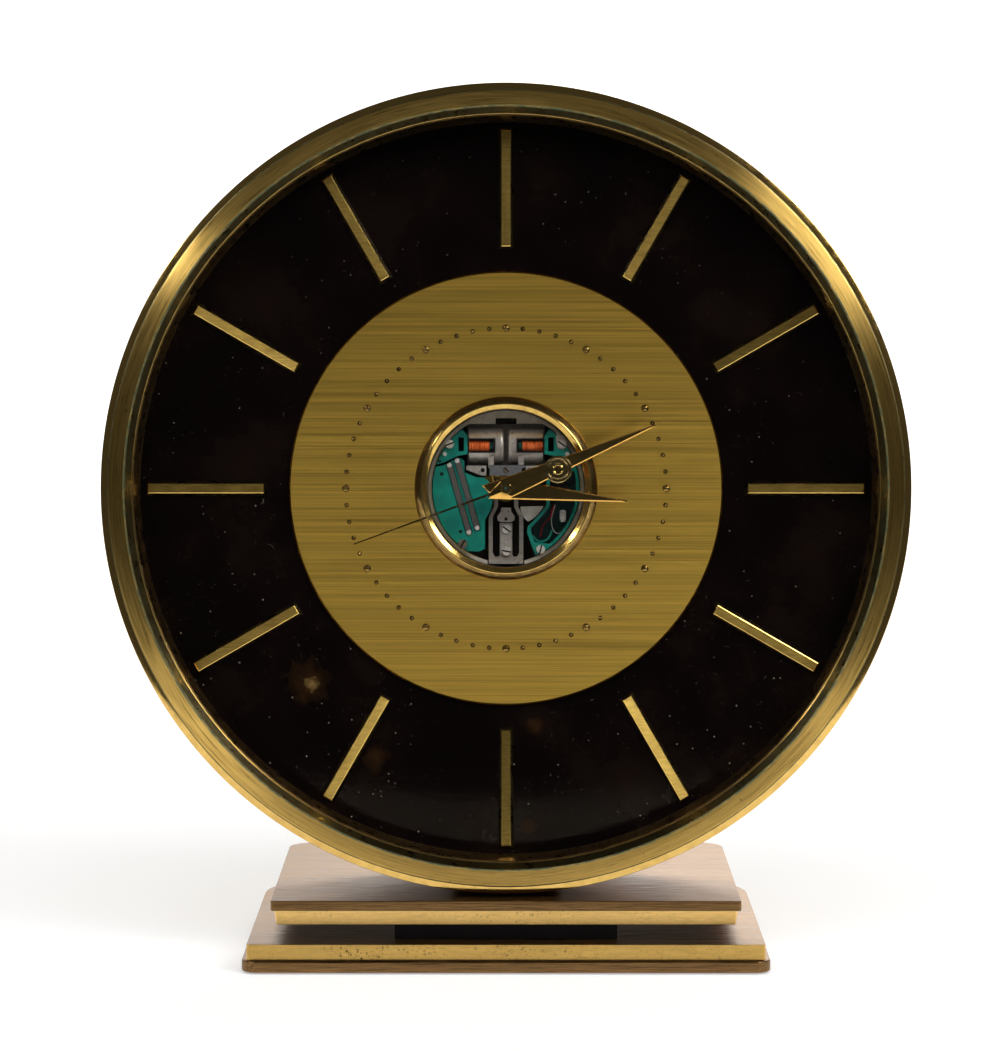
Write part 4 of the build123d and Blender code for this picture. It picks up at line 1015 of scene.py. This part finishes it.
def hand(node, body, height, angle, length, tail, collet, bevel):
    """Long hand over its collet, its flat top a darker gilt as painted shade and its bevels a painted highlight. tail
    lists the points round its end.
    """
    tip, ridge, fade = 0.16, 0.02, 1.2
    outline = [(tip, length), (-tip, length)] + tail
    top = inset(outline, bevel)
    top[0], top[1] = Vector((ridge, length - fade)), Vector((-ridge, length - fade))
    bm = bmesh.new()
    rings = [
        [bm.verts.new((x, y, height)) for x, y in outline],
        [bm.verts.new((x, y, height + HAND_SIDE)) for x, y in outline],
        [bm.verts.new((x, y, height + HAND_THICKNESS)) for x, y in top],
    ]
    bm.faces.new(list(reversed(rings[0])))
    bm.faces.new(rings[-1])
    # The sides take the brighter edge gilt: a painted highlight.
    for low, high in zip(rings, rings[1:]):
        skirt(bm, low, high, 1)
    matrix = hand_turn(angle)
    finish_mesh(bm, node + "_piece", ["hand", "hand_edge"], body, [node], matrix, sharp=8.0)
    bore, crown = 0.3, height + COLLET_HEIGHT
    profile = [(bore, height), (collet, height), (collet, crown), (bore, crown)]
    lathe(node + "_collet", profile, "hand", body, [], 0.1, 48, matrix)


def hand_facet(name, body, height, angle, outline, fall):
    """Facet on a hand in the brighter edge gilt, a painted highlight, sloping down towards its right-hand edge."""
    bm = bmesh.new()
    reach = max(x for x, y in outline)
    foot = [bm.verts.new((x, y, height - 0.05)) for x, y in outline]
    crown = [bm.verts.new((x, y, height + 0.03 + (reach - x) * fall)) for x, y in outline]
    bm.faces.new(list(reversed(foot)))
    bm.faces.new(crown)
    skirt(bm, foot, crown)
    finish_mesh(bm, name, "hand_edge", body, [], hand_turn(angle), sharp=8.0)


tail = [(-2.15, -2.9), (0, -2.1), (2.15, -2.9)]
hand("hour_hand", "hour_hand", HOUR_HAND_BACK, HOUR_HAND_ANGLE, 21.8, tail, 1.45, 0.2)
facet = [(2.08, -2.85), (1.88, 1.2), (0.95, 1.2), (1.25, 0.2), (1.0, -1.1)]
hand_facet("hour_hand_facet", "hour_hand", HOUR_HAND_BACK + HAND_THICKNESS, HOUR_HAND_ANGLE, facet, 0.3)
tail = [(-2.15, -3.74), (-0.43, -3.1), (0.4, -3.3), (0.45, -1.2), (1.85, 0.4)]
hand("minute_hand", "minute_hand", MINUTE_HAND_BACK, MINUTE_HAND_ANGLE, MINUTE_HAND_LENGTH, tail, 1.0, 0.16)
facet = [(-0.5, -2.95), (-0.36, -2.9), (-1.42, -0.4), (-1.56, -0.46)]
hand_facet("minute_hand_facet", "minute_hand", MINUTE_HAND_BACK + HAND_THICKNESS, MINUTE_HAND_ANGLE, facet, 0.3)
refine("seconds_hand", "hand", 0.04)

# Seconds hand: its pointer, turned rings and a bush on the counterweight, a painted dot on the hub
SECONDS_TURN = hand_turn(SECONDS_HAND_ANGLE)
WEIGHT = SECONDS_TURN @ Matrix.Translation(Vector((0, -WEIGHT_REACH, 0)) * MM)
half = ((0.23, 1.0), (0.15, 18.0), (0.09, SECONDS_HAND_LENGTH))
pointer = [(-0.23, 1.0), *half, (-0.09, SECONDS_HAND_LENGTH), (-0.15, 18.0)]
layers = [(pointer, SECONDS_TOP - 0.2), (pointer, SECONDS_TOP + 0.02)]
layered("seconds_pointer", layers, "hand_dark", "seconds_hand", [], SECONDS_TURN)
for name, inner, outer, crest, material in (
    ("weight_bush", 0.62, 0.98, 0.09, "hand"),
    ("weight_web", 1.0, 1.72, 0.06, "weight"),
    ("weight_line", 1.72, 1.86, 0.06, "weight"),
    ("weight_rim", 1.86, 2.44, 0.07, "weight"),
):
    foot, middle = SECONDS_TOP - 0.1, (inner + outer) / 2
    profile = [(inner, foot), (outer, foot), (outer, SECONDS_TOP), (middle, SECONDS_TOP + crest), (inner, SECONDS_TOP)]
    lathe(name, profile, material, "seconds_hand", [], 0.04, 64, WEIGHT)
radius, crest = 0.28, SECONDS_TOP + 0.27
profile = [(0, SECONDS_TOP), (radius, SECONDS_TOP), (radius, crest), (0, crest)]
lathe("hub_dot", profile, "dot", "seconds_hand", [], 0.03, 32, SECONDS_TURN)


# Camera: on the dial's axis, aimed a little below and left of the dial's centre
EYE_DISTANCE = 0.65
FOCAL_PIXELS = 3611.0
IMAGE_WIDTH, IMAGE_HEIGHT = 1000, 1051
DIAL_PIXEL = (506.0, 488.4)
SENSOR_WIDTH = 36.0


def make_camera():
    data = bpy.data.cameras.new("camera")
    data.sensor_fit = "AUTO"
    data.sensor_width = SENSOR_WIDTH
    data.lens = FOCAL_PIXELS / IMAGE_HEIGHT * SENSOR_WIDTH
    data.clip_start = 0.01
    data.clip_end = 50.0
    camera = bpy.data.objects.new("camera", data)
    bpy.context.scene.collection.objects.link(camera)
    right = (DIAL_PIXEL[0] - IMAGE_WIDTH / 2) / FOCAL_PIXELS
    below = (IMAGE_HEIGHT / 2 - DIAL_PIXEL[1]) / FOCAL_PIXELS
    turn = Matrix.Rotation(atan2(right, 1), 4, "Y") @ Matrix.Rotation(-atan2(below, 1), 4, "X")
    camera.matrix_world = CASE @ Matrix.Translation((0, 0, EYE_DISTANCE)) @ turn
    bpy.context.scene.camera = camera


def softbox(name, azimuth, polar, distance, width, length, power, mirrored=True):
    """Lamp seen from the dial at this azimuth and this angle off its axis, long side towards the axis."""
    a, p = radians(azimuth), radians(polar)
    away = Vector((sin(p) * cos(a), sin(p) * sin(a), cos(p)))
    beside = Vector((-sin(a), cos(a), 0))
    turn = Matrix((beside, away.cross(beside), away)).transposed().to_4x4()
    turn.translation = away * distance
    data = bpy.data.lights.new(name, "AREA")
    data.shape = "RECTANGLE"
    data.size, data.size_y = width, length
    data.energy = power
    light = bpy.data.objects.new(name, data)
    light.visible_camera = False
    light.visible_glossy = light.visible_transmission = mirrored
    bpy.context.scene.collection.objects.link(light)
    light.matrix_world = CASE @ turn


def make_floor():
    """Small pale floor that rises into a backdrop, white to the camera and in mirrors."""
    front, bend, rise, top, half_width = -0.22, 0.5, 0.4, 1.6, 2.0
    bm = bmesh.new()
    profile = [(front, 0.0), (bend, 0.0)]
    for step in range(1, 9):
        angle = radians(90 * step / 8)
        profile.append((bend + rise * sin(angle), rise - rise * cos(angle)))
    profile.append((bend + rise, top))
    rows = [[bm.verts.new((x, y, z)) for y, z in profile] for x in (-half_width, half_width)]
    for index in range(len(profile) - 1):
        bm.faces.new((rows[0][index], rows[1][index], rows[1][index + 1], rows[0][index + 1]))
    mesh = bpy.data.meshes.new("studio_floor")
    bm.to_mesh(mesh)
    bm.free()
    for polygon in mesh.polygons:
        polygon.use_smooth = True
    floor = bpy.data.objects.new("studio_floor", mesh)
    bpy.context.scene.collection.objects.link(floor)
    white = (1, 1, 1, 1)
    shade = Shade("studio_white", (0.6, 0.6, 0.6, 1), roughness=0.9, Specular_IOR_Level=0.0, Emission_Color=white)
    path = shade.add("LightPath").outputs
    seen = path["Is Camera Ray"]
    for kind in ("Is Glossy Ray", "Is Transmission Ray"):
        seen = shade.math("MAXIMUM", seen, path[kind])
    depth = shade.axes(shade.add("TexCoord").outputs["Object"])[1]
    shade.set("Emission Strength", shade.math("MULTIPLY", seen, shade.range(depth, 0.0, 0.7, 0.42, 0.9)))
    mesh.materials.append(shade.material)


def make_world():
    """A room that is white to the camera and pale behind the clock in mirrors, and dark elsewhere."""
    world = bpy.data.worlds.new("studio_world")
    bpy.context.scene.world = world
    room = Nodes(world)
    background = room.tree.nodes["Background"].inputs
    room.feed(background["Color"], (1, 1, 1, 1))
    path = room.add("LightPath").outputs
    mirrored = room.math("MAXIMUM", path["Is Glossy Ray"], path["Is Transmission Ray"])
    behind = room.range(room.axes(room.add("TexCoord").outputs["Generated"])[1], 0.3, 0.7)
    shown = room.math("MAXIMUM", path["Is Camera Ray"], room.math("MULTIPLY", mirrored, behind))
    room.feed(background["Strength"], room.range(shown, 0.0, 1.0, 0.05, 0.9))


make_camera()
make_floor()
make_world()
softbox("lamp_left", 145, 55, 0.9, 0.055, 0.42, 1.75)
softbox("lamp_right", 38, 54, 0.9, 0.28, 0.44, 3.9)
softbox("lamp_fill", 90, 40, 1.0, 1.2, 0.7, 9.0, mirrored=False)
softbox("lamp_back", 75, 140, 0.95, 0.5, 0.5, 4.0)
bpy.context.scene.view_settings.view_transform = "Standard"
